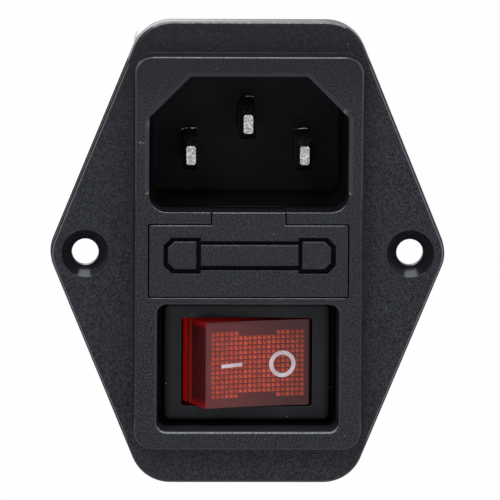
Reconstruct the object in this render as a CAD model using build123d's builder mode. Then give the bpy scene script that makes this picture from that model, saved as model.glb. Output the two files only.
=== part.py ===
from build123d import *
import os
from math import asin, atan2, cos, hypot, radians, sin

os.makedirs("parts", exist_ok=True)

# Millimetres. X runs to the right seen from the front, Z runs up, the front faces -Y, and
# the origin lies midway between the two screw holes on the rear face of the flange.

# Panel flange with its two countersunk screw holes
screw_inset = 5.85
screw_hole_radius = 1.65
countersink_radius = 2.95
countersink_angle = 90.0
flange_margin = 3.9
flange_thickness = 2.5
flange_corner_inset = 1.27
flange_draft = 2.0
flange_edge_round = 0.35
ear_radius = 4.3
flange_corner_radius = 5.1

# Raised bezel
bezel_rise = 2.7
bezel_side_margin = 1.05
bezel_top_margin = 2.65
bezel_bottom_margin = 2.425
bezel_corner_radius = 2.4
bezel_draft = 5.0
bezel_edge_round = 0.2

# Skirt behind the panel
skirt_side_margin = 0.85
skirt_end_margin = 0.9
skirt_past_floor = 1.6
skirt_wall = 1.2
skirt_corner_radius = 1.2
plinth_height = 0.4
plinth_margin = 0.3
post_radius = 1.35
peg_radius = 0.65

# Appliance inlet
inlet_web = 1.6
inlet_width = 24.5
inlet_height = 16.7
inlet_depth = 16.0
inlet_draft = 2.2
inlet_corner_cut = 5.1
inlet_cut_round = 0.6
inlet_corner_radius = 2.2
inlet_lip = 0.45
inlet_floor = 1.6
corner_core = 2.9
corner_core_start = 1.5

# Inlet pins
pin_width = 2.0
pin_height = 4.0
pin_tip_width = 1.15
pin_tip_height = 2.3
pin_tip_length = 1.5
pin_edge_round = 0.3
pin_spacing = 14.0
live_pin_drop = 2.0
earth_pin_rise = 2.0
live_pin_reach = 11.0
earth_pin_reach = 12.0
pin_clearance = 0.02
pin_shoulder = 1.0
pin_shoulder_length = 1.0
lead_width = 1.6
lead_sheet = 0.8

# Fuses
fuse_cap_radius = 2.6
fuse_cap_length = 5.2
fuse_cap_wall = 0.3
fuse_glass_wall = 0.5
fuse_wire_radius = 0.12
fuse_clearance = 0.05

# Fuse drawer
drawer_z = -0.55
bay_side_wall = 0.9
drawer_end_margin = 2.2
drawer_front = 2.35
drawer_seam = 0.13
drawer_edge_round = 0.15
seat_edge_round = 0.12
tab_width = 9.0
tab_depth = 4.3
tab_root = 1.0
drawer_floor = 0.8
drawer_side = 0.9
drawer_wall = 0.8
fuse_wall_gap = 0.3
bay_margin = 0.25
tray_margin = 0.15
ledge_gap = 0.05
nib_height = 1.6
nib_length = 1.4
nib_proud = 0.45
nib_clearance = 0.2
arm_slot = 0.5
cradle_clip_gap = 0.6
bay_rear_wall = 1.2
symbol_depth = 0.5
symbol_cap_width = 4.6
symbol_cap_height = 4.5
symbol_corner_cut = 1.0
symbol_bar_height = 3.65
symbol_spacing = 16.55
symbol_x = 0.14
symbol_z = 0.68

# Fuse clips
clip_width = 4.4
clip_sheet = 0.4
clip_fit = 0.05
clip_lip = 0.25
clip_lip_length = 0.6
clip_floor_gap = 0.08
clip_reach = 2.8
slot_clearance = 0.1

# Switch bay and switch body
switch_web = 0.975
recess_side_wall = 1.9
recess_side_gap = 0.7
recess_end_gap = 0.475
recess_corner_radius = 1.2
recess_edge_round = 0.35
recess_draft = 3.0
switch_plate = 1.5
frame_side_overlap = 0.9
frame_end_overlap = 0.975
frame_thickness = 2.0
frame_corner_radius = 1.0
frame_edge_round = 0.45
frame_face_y = -0.4
window_side_gap = 0.53
window_end_gap = 0.2
window_corner_radius = 0.4
body_side_wall = 1.42
body_end_wall = 0.825
cutout_clearance = 0.1
blade_chamber_depth = 4.75
switch_floor = 1.6
pole_wall = 0.8
pole_wall_height = 6.0
wing_proud = 0.45
wing_length = 5.0
wing_width = 6.0
wing_gap = 0.05

# Rocker, drawn in its own tilted plane through the pivot
pivot_depth = 4.1
rocker_tilt = 14.0
rocker_rise = 5.7
rocker_hollow = 0.4
rocker_skirt = 1.0
rocker_flare = 0.85
rocker_end_gap = 0.35
rocker_wall = 0.8
rocker_edge_round = 0.3
carrier_side_inset = 0.2
carrier_end_inset = 0.05
carrier_plate_rear = 0.6
cradle_top = 2.9
cradle_side_inset = 1.2
cradle_gap = 0.25
stem_half_width = 2.4
stem_rear = 4.6
stem_wall = 0.7
trunnion_radius = 1.25
trunnion_fit = 0.05
trunnion_length = 0.7
boss_radius = 1.6
boss_clearance = 0.1

# Lamp and resistor in the rocker
lamp_radius = 1.4
lamp_length = 8.6
lamp_end_round = 1.1
lamp_shift = -0.9
trough_clearance = 0.1
lamp_resistor_radius = 0.8
lamp_resistor_length = 3.8
lamp_resistor_end_round = 0.25
lamp_resistor_shift = 2.9
lamp_resistor_top = 2.3
lamp_lead_radius = 0.2
lamp_lead_length = 1.0

# Plungers, springs, see-saw blades and switch terminals
pole_gap = 0.4
bore_radius = 1.3
bore_front = 0.9
plunger_radius = 1.25
plunger_front = 3.5
plunger_reach = 7.0
plunger_tip_radius = 0.8
plunger_tip_length = 1.2
spring_radius = 0.9
spring_wire_radius = 0.15
spring_pitch = 1.0
tip_gap = 0.05
blade_tilt = 8.0
blade_sheet = 0.5
blade_side_inset = 0.3
blade_dip = 0.25
blade_dip_half = 2.2
blade_left = 4.2
blade_past_contact = 0.8
pad_side_gap = 0.28
contact_radius = 1.2
contact_height = 0.4
contact_gap = 0.05
terminal_width = 4.2
terminal_sheet = 0.8
fulcrum_gap = 0.03
fulcrum_round = 0.36
pad_length = 2.8
pad_sheet = 0.6
terminal_clearance = 0.05

# Circuit board
board_gap = 2.4
board_thickness = 1.6
board_margin = 0.15
board_corner_radius = 0.8
lead_proud = 0.8
lead_hole_clearance = 0.1

# Choke
choke_rise = 4.4
core_inner_radius = 4.0
core_outer_radius = 8.0
core_height = 8.0
core_edge_cut = 0.6
choke_lift = 1.2
winding_clearance = 0.06
wire_size = 0.9
winding_base = 0.35
winding_span = 112.0
winding_turns = 7
winding_round = 0.4
choke_lead_radius = 0.4
divider_sheet = 0.8
divider_clearance = 0.05

# Capacitors and bleed resistor
x_capacitor_gap = 0.6
x_capacitor_width = 18.0
x_capacitor_thickness = 8.5
x_capacitor_height = 13.5
x_capacitor_pitch = 15.0
x_capacitor_round = 0.6
y_capacitor_x = 6.5
y_capacitor_gap = 0.35
y_capacitor_radius = 4.0
y_capacitor_thickness = 3.5
y_capacitor_pitch = 5.0
y_capacitor_lift = 0.8
y_capacitor_round = 1.3
resistor_post_gap = 1.85
resistor_inset = 2.0
resistor_radius = 1.2
resistor_lead_run = 0.65
resistor_bend = 0.6
resistor_end_length = 1.2
resistor_waist = 0.2
wire_lead_radius = 0.3

# Screening can and liner
can_clearance = 0.1
can_sheet = 0.5
can_rear_gap = 2.4
can_edge_round = 0.9
liner_clearance = 0.05
liner_sheet = 0.4
lug_y = 7.0
lug_width = 5.0
lug_length = 2.4
lug_proud = 0.5
lug_window_clearance = 0.2

# Rear terminals
terminal_rise = 2.45
tab_inset = 6.6
faston_width = 6.3
faston_sheet = 0.8
faston_reach = 8.0
faston_hole_radius = 0.9
faston_hole_inset = 3.2
faston_tip_chamfer = 1.0
faston_seat = 2.0
tail_width = 2.4
block_end_wall = 1.05
block_side_wall = 1.9
block_proud = 2.5
block_round = 0.5
collar_margin = 1.0
collar_thickness = 1.5
block_clearance = 0.1
earth_drop = 4.5
earth_foot_length = 7.0
earth_bend_radius = 0.5
rivet_radius = 1.25
rivet_head_radius = 2.2
rivet_head_height = 0.8
rivet_clearance = 0.05
strap_width = 3.6
strap_sheet = 0.5
strap_inset = 1.25
strap_foot_overlap = 2.5
strap_window_clearance = 0.4

# Widths: the skirt around the inlet, then outwards the bezel and the flange's screws, and
# inwards the drawer with its fuses and the switch with its rocker
skirt_width = inlet_width + 2 * skirt_side_margin
bezel_width = skirt_width + 2 * bezel_side_margin
screw_spacing = bezel_width + 2 * screw_inset
drawer_width = skirt_width - 2 * bay_side_wall
fuse_length = drawer_width - 2 * drawer_end_margin
bay_width = drawer_width - 2 * bay_margin
tray_width = bay_width - 2 * tray_margin
recess_width = skirt_width - 2 * recess_side_wall
frame_width = recess_width - 2 * recess_side_gap
cutout_width = frame_width - 2 * frame_side_overlap
body_width = cutout_width - 2 * cutout_clearance
window_width = body_width - 2 * body_side_wall
rocker_skirt_half = window_width / 2 - window_side_gap
rocker_half_length = rocker_skirt_half - rocker_flare
contact_x = (window_width - pad_length) / 2 - pad_side_gap

# Heights: the rocker around its two poles, and the switch around the rocker
pole_offset = (pole_wall + terminal_width) / 2 + pole_gap
stem_height = 2 * (pole_offset + bore_radius + stem_wall)
rocker_height = 2 * (pole_offset + terminal_width / 2 + rocker_end_gap)
window_height = rocker_height + 2 * window_end_gap
body_height = window_height + 2 * body_end_wall
cutout_height = body_height + 2 * cutout_clearance
frame_height = cutout_height + 2 * frame_end_overlap
recess_height = frame_height + 2 * recess_end_gap
clip_half_gap = fuse_cap_radius + clip_fit
bay_height = 2 * (clip_half_gap + clip_sheet + clip_lip + clip_floor_gap + drawer_floor + tray_margin)
drawer_height = bay_height + 2 * (bay_margin - drawer_seam)

# Places up the panel, with the inlet above the drawer and the switch below it
drawer_top_z = drawer_z + drawer_height / 2
drawer_bottom_z = drawer_z - drawer_height / 2
inlet_bottom_z = drawer_top_z + inlet_web
inlet_z = inlet_bottom_z + inlet_height / 2
inlet_top_z = inlet_bottom_z + inlet_height
live_pin_z = inlet_z - live_pin_drop
earth_pin_z = inlet_z + earth_pin_rise
tray_floor_z = drawer_z - bay_height / 2 + tray_margin
switch_z = drawer_bottom_z - switch_web - recess_height / 2
recess_bottom_z = switch_z - recess_height / 2
skirt_height = 2 * (max(inlet_top_z, -recess_bottom_z) + skirt_end_margin)
bezel_top_z = inlet_top_z + bezel_top_margin
bezel_bottom_z = recess_bottom_z - bezel_bottom_margin
flange_height = 2 * (max(bezel_top_z, -bezel_bottom_z) + flange_margin)

# Depths, from the front back
bezel_base_y = -flange_thickness
front_y = bezel_base_y - bezel_rise
inlet_floor_y = front_y + inlet_depth
inlet_floor_rear = inlet_floor_y + inlet_floor
skirt_depth = inlet_floor_rear + skirt_past_floor
drawer_ledge_y = front_y + drawer_front + ledge_gap
fuse_pocket = 2 * (fuse_cap_radius + 2 * fuse_clearance)
spare_fuse_y = front_y + drawer_front + fuse_pocket / 2
fuse_wall_y = front_y + drawer_front + fuse_pocket
fuse_y = fuse_wall_y + drawer_wall + fuse_wall_gap + fuse_cap_radius
clip_rear_y = fuse_y + clip_half_gap + clip_sheet
drawer_rear_y = clip_rear_y - clip_sheet
bay_rear_y = clip_rear_y + bay_rear_wall
recess_seat_y = frame_face_y + frame_thickness
switch_plate_rear = recess_seat_y + switch_plate
pivot_y = frame_face_y + pivot_depth
blade_pivot_y = pivot_y + plunger_reach + tip_gap + blade_sheet
chamber_floor_y = blade_pivot_y + blade_chamber_depth
switch_rear_y = chamber_floor_y + switch_floor
board_y = switch_rear_y + board_gap
board_rear_y = board_y + board_thickness
lead_end_y = board_rear_y + lead_proud
core_front_y = board_rear_y + choke_lift + wire_size
core_rear_y = core_front_y + core_height
can_floor_y = max(board_rear_y + x_capacitor_height, core_rear_y + wire_size) + can_rear_gap
can_depth = can_floor_y + can_sheet

# Can, liner and board, and what stands on the board
can_width = skirt_width + 2 * (can_clearance + can_sheet)
can_height = skirt_height + 2 * (can_clearance + can_sheet)
can_corner_radius = skirt_corner_radius + can_clearance + can_sheet
liner_width = can_width - 2 * (can_sheet + liner_clearance)
liner_height = can_height - 2 * (can_sheet + liner_clearance)
board_width = liner_width - 2 * (liner_sheet + board_margin)
board_height = liner_height - 2 * (liner_sheet + board_margin)
board_bottom_z = -board_height / 2
post_x = board_width / 2 - post_radius
post_z = board_height / 2 - post_radius
clip_x = (fuse_length - fuse_cap_length) / 2
cradle_width = 2 * (clip_x - cradle_clip_gap) - clip_width
choke_z = switch_z + choke_rise
x_capacitor_z = live_pin_z - lead_width / 2 - x_capacitor_gap - x_capacitor_thickness / 2
y_capacitor_z = earth_pin_z + lead_width / 2 + y_capacitor_gap + y_capacitor_thickness / 2
resistor_z = board_bottom_z + resistor_inset
strap_z = board_bottom_z + strap_inset
terminal_z = live_pin_z + terminal_rise
earth_z = choke_z - earth_drop
strap_foot_end = earth_z + strap_foot_overlap
tab_spacing = board_width - 2 * tab_inset
resistor_pitch = post_x - resistor_post_gap - strap_width / 2
resistor_x = -(resistor_pitch + strap_width) / 2
block_width = tab_spacing + faston_width + 2 * block_end_wall
block_height = faston_sheet + 2 * block_side_wall


def depth_plane(y):
    """Sketch plane across the panel at depth y: its X and Y are the part's X and Z, and
    a positive extrusion runs to the front."""
    return Plane.XZ.offset(-y)


def slab(x, y_front, z, width, y_rear, height, mode=Mode.ADD):
    """Straight block centred on x and z, from y_front back to y_rear."""
    with Locations((x, (y_front + y_rear) / 2, z)):
        Box(width, y_rear - y_front, height, mode=mode)


# Housing: flange, bezel, inlet well, fuse bay, switch bay and skirt in one moulding
flange_corner_x = bezel_width / 2 - flange_corner_inset
ear_past_corner = screw_spacing / 2 - flange_corner_x
ear_distance = hypot(ear_past_corner, flange_height / 2)
flange_slant = atan2(ear_past_corner, flange_height / 2) + asin(ear_radius / ear_distance)
ear_apex_x = screw_spacing / 2 + ear_radius / cos(flange_slant)
flange_points = [
    (ear_apex_x, 0),
    (flange_corner_x, flange_height / 2),
    (-flange_corner_x, flange_height / 2),
    (-ear_apex_x, 0),
    (-flange_corner_x, -flange_height / 2),
    (flange_corner_x, -flange_height / 2),
]

with BuildPart() as housing:
    with BuildSketch(depth_plane(0)) as flange_sketch:
        Polygon(*flange_points, align=None)
        fillet(flange_sketch.vertices().filter_by_position(Axis.Y, -1, 1), ear_radius)
        flange_corners = [flange_sketch.vertices().group_by(Axis.Y)[end] for end in (0, -1)]
        fillet(flange_corners[0] + flange_corners[1], flange_corner_radius)
    extrude(amount=flange_thickness, taper=flange_draft)
    fillet(housing.faces().sort_by(Axis.Y)[0].edges(), flange_edge_round)

    with BuildSketch(depth_plane(bezel_base_y)):
        with Locations((0, (bezel_top_z + bezel_bottom_z) / 2)):
            RectangleRounded(bezel_width, bezel_top_z - bezel_bottom_z, bezel_corner_radius)
    extrude(amount=bezel_rise, taper=bezel_draft)
    fillet(housing.faces().sort_by(Axis.Y)[0].edges(), bezel_edge_round)

    # Skirt, and a low plinth round its root where the edge of the can rests
    with BuildSketch(depth_plane(0)):
        RectangleRounded(skirt_width, skirt_height, skirt_corner_radius)
    extrude(amount=-skirt_depth)
    with BuildSketch(depth_plane(0)):
        RectangleRounded(can_width + 2 * plinth_margin, can_height + 2 * plinth_margin,
                         can_corner_radius + plinth_margin)
    extrude(amount=-plinth_height)

    # Inlet well, with the two upper corners cut off and a lip around its mouth
    with BuildSketch(depth_plane(front_y)) as inlet_sketch:
        with Locations((0, inlet_z)):
            Rectangle(inlet_width, inlet_height)
        chamfer(inlet_sketch.vertices().group_by(Axis.Y)[-1], inlet_corner_cut)
        fillet(inlet_sketch.vertices().group_by(Axis.Y)[0], inlet_corner_radius)
        upper = inlet_sketch.vertices().filter_by_position(Axis.Y, inlet_z, inlet_top_z)
        fillet(upper, inlet_cut_round)
    extrude(amount=-inlet_depth, taper=inlet_draft, mode=Mode.SUBTRACT)
    with BuildSketch(depth_plane(front_y)) as lip_sketch:
        lip_bottom_z = inlet_bottom_z + inlet_corner_radius
        lip_top_z = inlet_top_z + inlet_lip
        with Locations((0, (lip_bottom_z + lip_top_z) / 2)):
            Rectangle(inlet_width + 2 * inlet_lip, lip_top_z - lip_bottom_z)
        chamfer(lip_sketch.vertices().group_by(Axis.Y)[-1],
                inlet_corner_cut + inlet_lip * (2 - 2 ** 0.5))
    extrude(amount=-inlet_lip, taper=45, mode=Mode.SUBTRACT)

    # Pockets that keep the walls even behind the inlet, the fuse bay and the switch plate
    pocket_width = skirt_width - 2 * skirt_wall
    pocket_top_z = skirt_height / 2 - skirt_wall
    bay_bottom_z = drawer_z - bay_height / 2
    bay_top_z = drawer_z + bay_height / 2
    slab(0, inlet_floor_rear, (pocket_top_z + bay_top_z) / 2, pocket_width, skirt_depth,
         pocket_top_z - bay_top_z, mode=Mode.SUBTRACT)
    slab(0, bay_rear_y, drawer_z, pocket_width, skirt_depth, bay_height,
         mode=Mode.SUBTRACT)
    switch_pocket_top = bay_bottom_z - skirt_wall
    slab(0, switch_plate_rear, (switch_pocket_top - pocket_top_z) / 2, pocket_width, skirt_depth,
         switch_pocket_top + pocket_top_z, mode=Mode.SUBTRACT)
    slab(0, bay_rear_y, switch_pocket_top + skirt_wall / 2, pocket_width, skirt_depth,
         skirt_wall, mode=Mode.SUBTRACT)

    # Cores in the two corners beside the cut corners of the well
    with BuildSketch(depth_plane(corner_core_start)):
        for side in (1, -1):
            corner_x = side * pocket_width / 2
            Polygon(
                (corner_x, pocket_top_z),
                (corner_x - side * corner_core, pocket_top_z),
                (corner_x, pocket_top_z - corner_core),
                align=None,
            )
    extrude(amount=-(skirt_depth - corner_core_start), mode=Mode.SUBTRACT)

    # Fuse bay behind a ledge, the wider seat of the drawer front, and the notch for its tab
    slab(0, front_y, drawer_z, drawer_width + 2 * drawer_seam, drawer_ledge_y,
         drawer_height + 2 * drawer_seam, mode=Mode.SUBTRACT)
    slab(0, drawer_ledge_y, drawer_z, bay_width, clip_rear_y, bay_height, mode=Mode.SUBTRACT)
    slab(0, front_y, (drawer_z + inlet_z) / 2, tab_width + 2 * drawer_seam,
         front_y + tab_depth + drawer_seam, inlet_z - drawer_z, mode=Mode.SUBTRACT)
    seat_bottom_z = drawer_bottom_z - drawer_seam
    front_edges = housing.faces().sort_by(Axis.Y)[0].edges()
    fillet(front_edges.filter_by_position(Axis.Z, seat_bottom_z, inlet_bottom_z), seat_edge_round)
    groove_depth = nib_proud + nib_clearance
    slab(0, drawer_ledge_y, drawer_z, bay_width + 2 * groove_depth, drawer_rear_y,
         nib_height + 2 * nib_clearance, mode=Mode.SUBTRACT)
    with Locations(*[(x, bay_rear_y - bay_rear_wall / 2, drawer_z) for x in (clip_x, -clip_x)]):
        Box(lead_width + 2 * slot_clearance, bay_rear_wall, clip_sheet + 2 * slot_clearance,
            mode=Mode.SUBTRACT)

    # Switch recess with its drafted walls and the cut-out for the switch body
    with BuildSketch(depth_plane(front_y)):
        with Locations((0, switch_z)):
            RectangleRounded(recess_width, recess_height, recess_corner_radius)
    extrude(amount=-(recess_seat_y - front_y), taper=recess_draft, mode=Mode.SUBTRACT)
    front_edges = housing.faces().sort_by(Axis.Y)[0].edges()
    fillet(front_edges.filter_by_position(Axis.Z, recess_bottom_z, switch_z + recess_height / 2),
           recess_edge_round)
    slab(0, recess_seat_y, switch_z, cutout_width, switch_plate_rear, cutout_height,
         mode=Mode.SUBTRACT)

    # Countersunk screw holes in the ears
    with Locations(depth_plane(bezel_base_y)):
        with Locations((screw_spacing / 2, 0), (-screw_spacing / 2, 0)):
            CounterSinkHole(screw_hole_radius, countersink_radius,
                            counter_sink_angle=countersink_angle)

    # Slots for the three pins in the floor of the well
    pin_places = [(-pin_spacing / 2, live_pin_z), (pin_spacing / 2, live_pin_z), (0, earth_pin_z)]
    for x, z in pin_places:
        slab(x, inlet_floor_y, z, pin_width + 2 * pin_clearance, inlet_floor_rear,
             pin_height + 2 * pin_clearance, mode=Mode.SUBTRACT)

    # Corner posts that carry the board, each with a locating peg
    for x in (post_x, -post_x):
        for z in (post_z, -post_z):
            with Locations((x, inlet_floor_rear, z)):
                Cylinder(post_radius, board_y - inlet_floor_rear, rotation=(-90, 0, 0),
                         align=(Align.CENTER, Align.CENTER, Align.MIN))
                Cylinder(peg_radius, board_rear_y + peg_radius - inlet_floor_rear,
                         rotation=(-90, 0, 0), align=(Align.CENTER, Align.CENTER, Align.MIN))

    # Lugs on the two long sides that snap into the windows of the can
    with BuildSketch(Plane.XY):
        for side in (1, -1):
            Polygon(
                (side * (skirt_width / 2 - skirt_wall / 2), lug_y - lug_length / 2),
                (side * (skirt_width / 2 + lug_proud), lug_y - lug_length / 2),
                (side * (skirt_width / 2 + lug_proud), lug_y),
                (side * (skirt_width / 2), lug_y + lug_length / 2),
                (side * (skirt_width / 2 - skirt_wall / 2), lug_y + lug_length / 2),
                align=None,
            )
    extrude(amount=lug_width / 2, both=True)

housing.part.label = "housing"
export_step(housing.part, "parts/housing.step")


# Inlet pins: a tapered tip, a shoulder behind the floor and a narrow tail to the board
def inlet_pin(x, z, reach):
    with BuildPart() as pin:
        tip_y = inlet_floor_y - reach
        slab(x, tip_y + pin_tip_length, z, pin_width, inlet_floor_rear, pin_height)
        fillet(pin.edges().filter_by(Axis.Y), pin_edge_round)
        with BuildSketch(depth_plane(tip_y + pin_tip_length)):
            with Locations((x, z)):
                RectangleRounded(pin_width, pin_height, pin_edge_round)
        with BuildSketch(depth_plane(tip_y)):
            with Locations((x, z)):
                RectangleRounded(pin_tip_width, pin_tip_height, pin_edge_round)
        loft()
        slab(x, inlet_floor_rear, z, pin_width + pin_shoulder,
             inlet_floor_rear + pin_shoulder_length, pin_height + pin_shoulder)
        slab(x, inlet_floor_rear + pin_shoulder_length, z, lead_sheet, lead_end_y, lead_width)
    return pin


line_pin = inlet_pin(pin_spacing / 2, live_pin_z, live_pin_reach)
line_pin.part.label = "line_pin"
export_step(line_pin.part, "parts/line_pin.step")

neutral_pin = inlet_pin(-pin_spacing / 2, live_pin_z, live_pin_reach)
neutral_pin.part.label = "neutral_pin"
export_step(neutral_pin.part, "parts/neutral_pin.step")

earth_pin = inlet_pin(0, earth_pin_z, earth_pin_reach)
earth_pin.part.label = "earth_pin"
export_step(earth_pin.part, "parts/earth_pin.step")


# Fuse clips: a U of sheet that opens to the front, with a tail to the board
def fuse_clip(x):
    with BuildPart() as clip:
        leaf_z = clip_half_gap + clip_sheet / 2
        with BuildSketch(Plane.YZ.offset(x)):
            with BuildLine():
                Polyline(
                    (fuse_y - clip_reach, drawer_z + leaf_z + clip_lip),
                    (fuse_y - clip_reach + clip_lip_length, drawer_z + leaf_z),
                    (clip_rear_y - clip_sheet / 2, drawer_z + leaf_z),
                    (clip_rear_y - clip_sheet / 2, drawer_z - leaf_z),
                    (fuse_y - clip_reach + clip_lip_length, drawer_z - leaf_z),
                    (fuse_y - clip_reach, drawer_z - leaf_z - clip_lip),
                )
            trace(line_width=clip_sheet)
        extrude(amount=clip_width / 2, both=True)
        slab(x, clip_rear_y - clip_sheet / 2, drawer_z, lead_width, lead_end_y, clip_sheet)
    return clip


line_clip = fuse_clip(clip_x)
line_clip.part.label = "fuse_clip_line"
export_step(line_clip.part, "parts/fuse_clip_line.step")

load_clip = fuse_clip(-clip_x)
load_clip.part.label = "fuse_clip_load"
export_step(load_clip.part, "parts/fuse_clip_load.step")


# Fuses: a glass tube between two end caps, with the wire along its middle
def fuse_parts(y):
    axis_plane = Plane.YZ
    glass_radius = fuse_cap_radius - fuse_cap_wall - fuse_clearance / 2
    inner_length = fuse_length - 2 * fuse_cap_wall
    with BuildPart() as tube:
        with BuildSketch(axis_plane):
            with Locations((y, drawer_z)):
                Circle(glass_radius)
                Circle(glass_radius - fuse_glass_wall, mode=Mode.SUBTRACT)
        extrude(amount=inner_length / 2, both=True)
    with BuildPart() as caps:
        with BuildSketch(axis_plane):
            with Locations((y, drawer_z)):
                Circle(fuse_cap_radius)
        extrude(amount=fuse_length / 2, both=True)
        with BuildSketch(axis_plane):
            with Locations((y, drawer_z)):
                Circle(fuse_cap_radius - fuse_cap_wall)
        extrude(amount=inner_length / 2, both=True, mode=Mode.SUBTRACT)
        slab(0, y - fuse_length, drawer_z, fuse_length - 2 * fuse_cap_length, y + fuse_length,
             fuse_length, mode=Mode.SUBTRACT)
    with BuildPart() as wire:
        with BuildSketch(axis_plane):
            with Locations((y, drawer_z)):
                Circle(fuse_wire_radius)
        extrude(amount=inner_length / 2, both=True)
    return tube, caps, wire


fuse_tube, fuse_caps, fuse_wire = fuse_parts(fuse_y)
fuse_tube.part.label = "fuse_tube"
export_step(fuse_tube.part, "parts/fuse_tube.step")
fuse_caps.part.label = "fuse_caps"
export_step(fuse_caps.part, "parts/fuse_caps.step")
fuse_wire.part.label = "fuse_wire"
export_step(fuse_wire.part, "parts/fuse_wire.step")

spare_tube, spare_caps, spare_wire = fuse_parts(spare_fuse_y)
spare_tube.part.label = "spare_fuse_tube"
export_step(spare_tube.part, "parts/spare_fuse_tube.step")
spare_caps.part.label = "spare_fuse_caps"
export_step(spare_caps.part, "parts/spare_fuse_caps.step")
spare_wire.part.label = "spare_fuse_wire"
export_step(spare_wire.part, "parts/spare_fuse_wire.step")


# Fuse drawer: a T front over a tray with two cradles and two spring arms
with BuildPart() as drawer:
    front_rear_y = front_y + drawer_front
    tray_rear_y = drawer_rear_y - bay_margin
    tray_top_z = tray_floor_z + drawer_floor
    tab_bottom_z = drawer_top_z - tab_root
    arm_x = tray_width / 2 - drawer_side / 2
    slab(0, front_y, drawer_z, drawer_width, front_rear_y, drawer_height)
    slab(0, front_y, (tab_bottom_z + inlet_bottom_z) / 2, tab_width, front_y + tab_depth,
         inlet_bottom_z - tab_bottom_z)

    fillet(drawer.faces().sort_by(Axis.Y)[0].edges(), drawer_edge_round)

    # Sunken field in the front, shaped like a cartridge: two broad ends and a slimmer middle
    with BuildSketch(depth_plane(front_y)) as symbol_sketch:
        for side in (1, -1):
            with Locations((symbol_x + side * symbol_spacing / 2, drawer_z + symbol_z)):
                Rectangle(symbol_cap_width, symbol_cap_height)
        symbol_corners = symbol_sketch.vertices().group_by(Axis.X)
        chamfer(symbol_corners[0] + symbol_corners[-1], symbol_corner_cut)
        with Locations((symbol_x, drawer_z + symbol_z)):
            Rectangle(symbol_spacing, symbol_bar_height)
    extrude(amount=-symbol_depth, mode=Mode.SUBTRACT)

    # Tray with the wall between the spare and the working fuse, and a trough under each
    slab(0, front_rear_y, tray_floor_z + drawer_floor / 2, tray_width, tray_rear_y, drawer_floor)
    wall_top_z = drawer_z + fuse_cap_radius / 2
    slab(0, fuse_wall_y, (tray_floor_z + wall_top_z) / 2, tray_width, fuse_wall_y + drawer_wall,
         wall_top_z - tray_floor_z)
    trough_top_z = drawer_z - fuse_cap_radius / 2
    trough_z = (tray_floor_z + trough_top_z) / 2
    slab(0, front_rear_y, trough_z, fuse_length, fuse_wall_y, trough_top_z - tray_floor_z)
    slab(0, fuse_wall_y, trough_z, cradle_width, tray_rear_y, trough_top_z - tray_floor_z)
    for y, length in ((spare_fuse_y, fuse_length + 2 * drawer_side), (fuse_y, cradle_width)):
        with Locations((0, y, drawer_z)):
            Cylinder(fuse_cap_radius + fuse_clearance, length, rotation=(0, 90, 0),
                     mode=Mode.SUBTRACT)

    # Spring arms along both sides, cut free of the floor, each with a nib at its end
    for side in (1, -1):
        arm_top_z = drawer_z + fuse_cap_radius
        slab(side * arm_x, front_rear_y, (tray_floor_z + arm_top_z) / 2, drawer_side, tray_rear_y,
             arm_top_z - tray_floor_z)
        slab(side * arm_x, fuse_wall_y + drawer_wall, tray_top_z + arm_slot / 2, drawer_side,
             tray_rear_y, arm_slot, mode=Mode.SUBTRACT)
    with BuildSketch(Plane.XY.offset(drawer_z)):
        for side in (1, -1):
            Polygon(
                (side * arm_x, tray_rear_y),
                (side * tray_width / 2, tray_rear_y),
                (side * (tray_width / 2 + nib_proud), tray_rear_y - nib_length / 2),
                (side * tray_width / 2, tray_rear_y - nib_length),
                (side * arm_x, tray_rear_y - nib_length),
                align=None,
            )
    extrude(amount=nib_height / 2, both=True)

drawer.part.label = "fuse_drawer"
export_step(drawer.part, "parts/fuse_drawer.step")


# Switch body: frame in the recess, chamber behind it, snap wings behind the plate
terminal_places = [(x, switch_z + side * pole_offset) for x in (0, contact_x) for side in (1, -1)]
with BuildPart() as switch_body:
    with BuildSketch(depth_plane(recess_seat_y)):
        with Locations((0, switch_z)):
            RectangleRounded(frame_width, frame_height, frame_corner_radius)
    extrude(amount=frame_thickness)
    fillet(switch_body.faces().sort_by(Axis.Y)[0].edges(), frame_edge_round)
    slab(0, recess_seat_y, switch_z, body_width, switch_rear_y, body_height)
    with BuildSketch(depth_plane(frame_face_y)):
        with Locations((0, switch_z)):
            RectangleRounded(window_width, window_height, window_corner_radius)
    extrude(amount=-(chamber_floor_y - frame_face_y), mode=Mode.SUBTRACT)
    slab(0, chamber_floor_y - pole_wall_height, switch_z, window_width, chamber_floor_y, pole_wall)
    with Locations((0, pivot_y, switch_z)):
        Cylinder(trunnion_radius + trunnion_fit, body_height, mode=Mode.SUBTRACT)
    with BuildSketch(Plane.XY.offset(switch_z)):
        wing_start = switch_plate_rear + wing_gap
        for side in (1, -1):
            Polygon(
                (side * (body_width / 2 - wing_proud), wing_start),
                (side * (cutout_width / 2 + wing_proud), wing_start),
                (side * body_width / 2, wing_start + wing_length),
                (side * (body_width / 2 - wing_proud), wing_start + wing_length),
                align=None,
            )
    extrude(amount=wing_width / 2, both=True)
    for x, z in terminal_places:
        slab(x, chamber_floor_y, z, terminal_sheet + 2 * terminal_clearance, switch_rear_y,
             terminal_width + 2 * terminal_clearance, mode=Mode.SUBTRACT)

switch_body.part.label = "switch_body"
export_step(switch_body.part, "parts/switch_body.step")

# Rocker: the red cap over its carrier, both drawn square to the tilted rocker
rocker_x_dir = (cos(radians(rocker_tilt)), sin(radians(rocker_tilt)), 0)
rocker_plane = Plane(origin=(0, pivot_y, switch_z), x_dir=rocker_x_dir, z_dir=(0, 0, 1))


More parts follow.
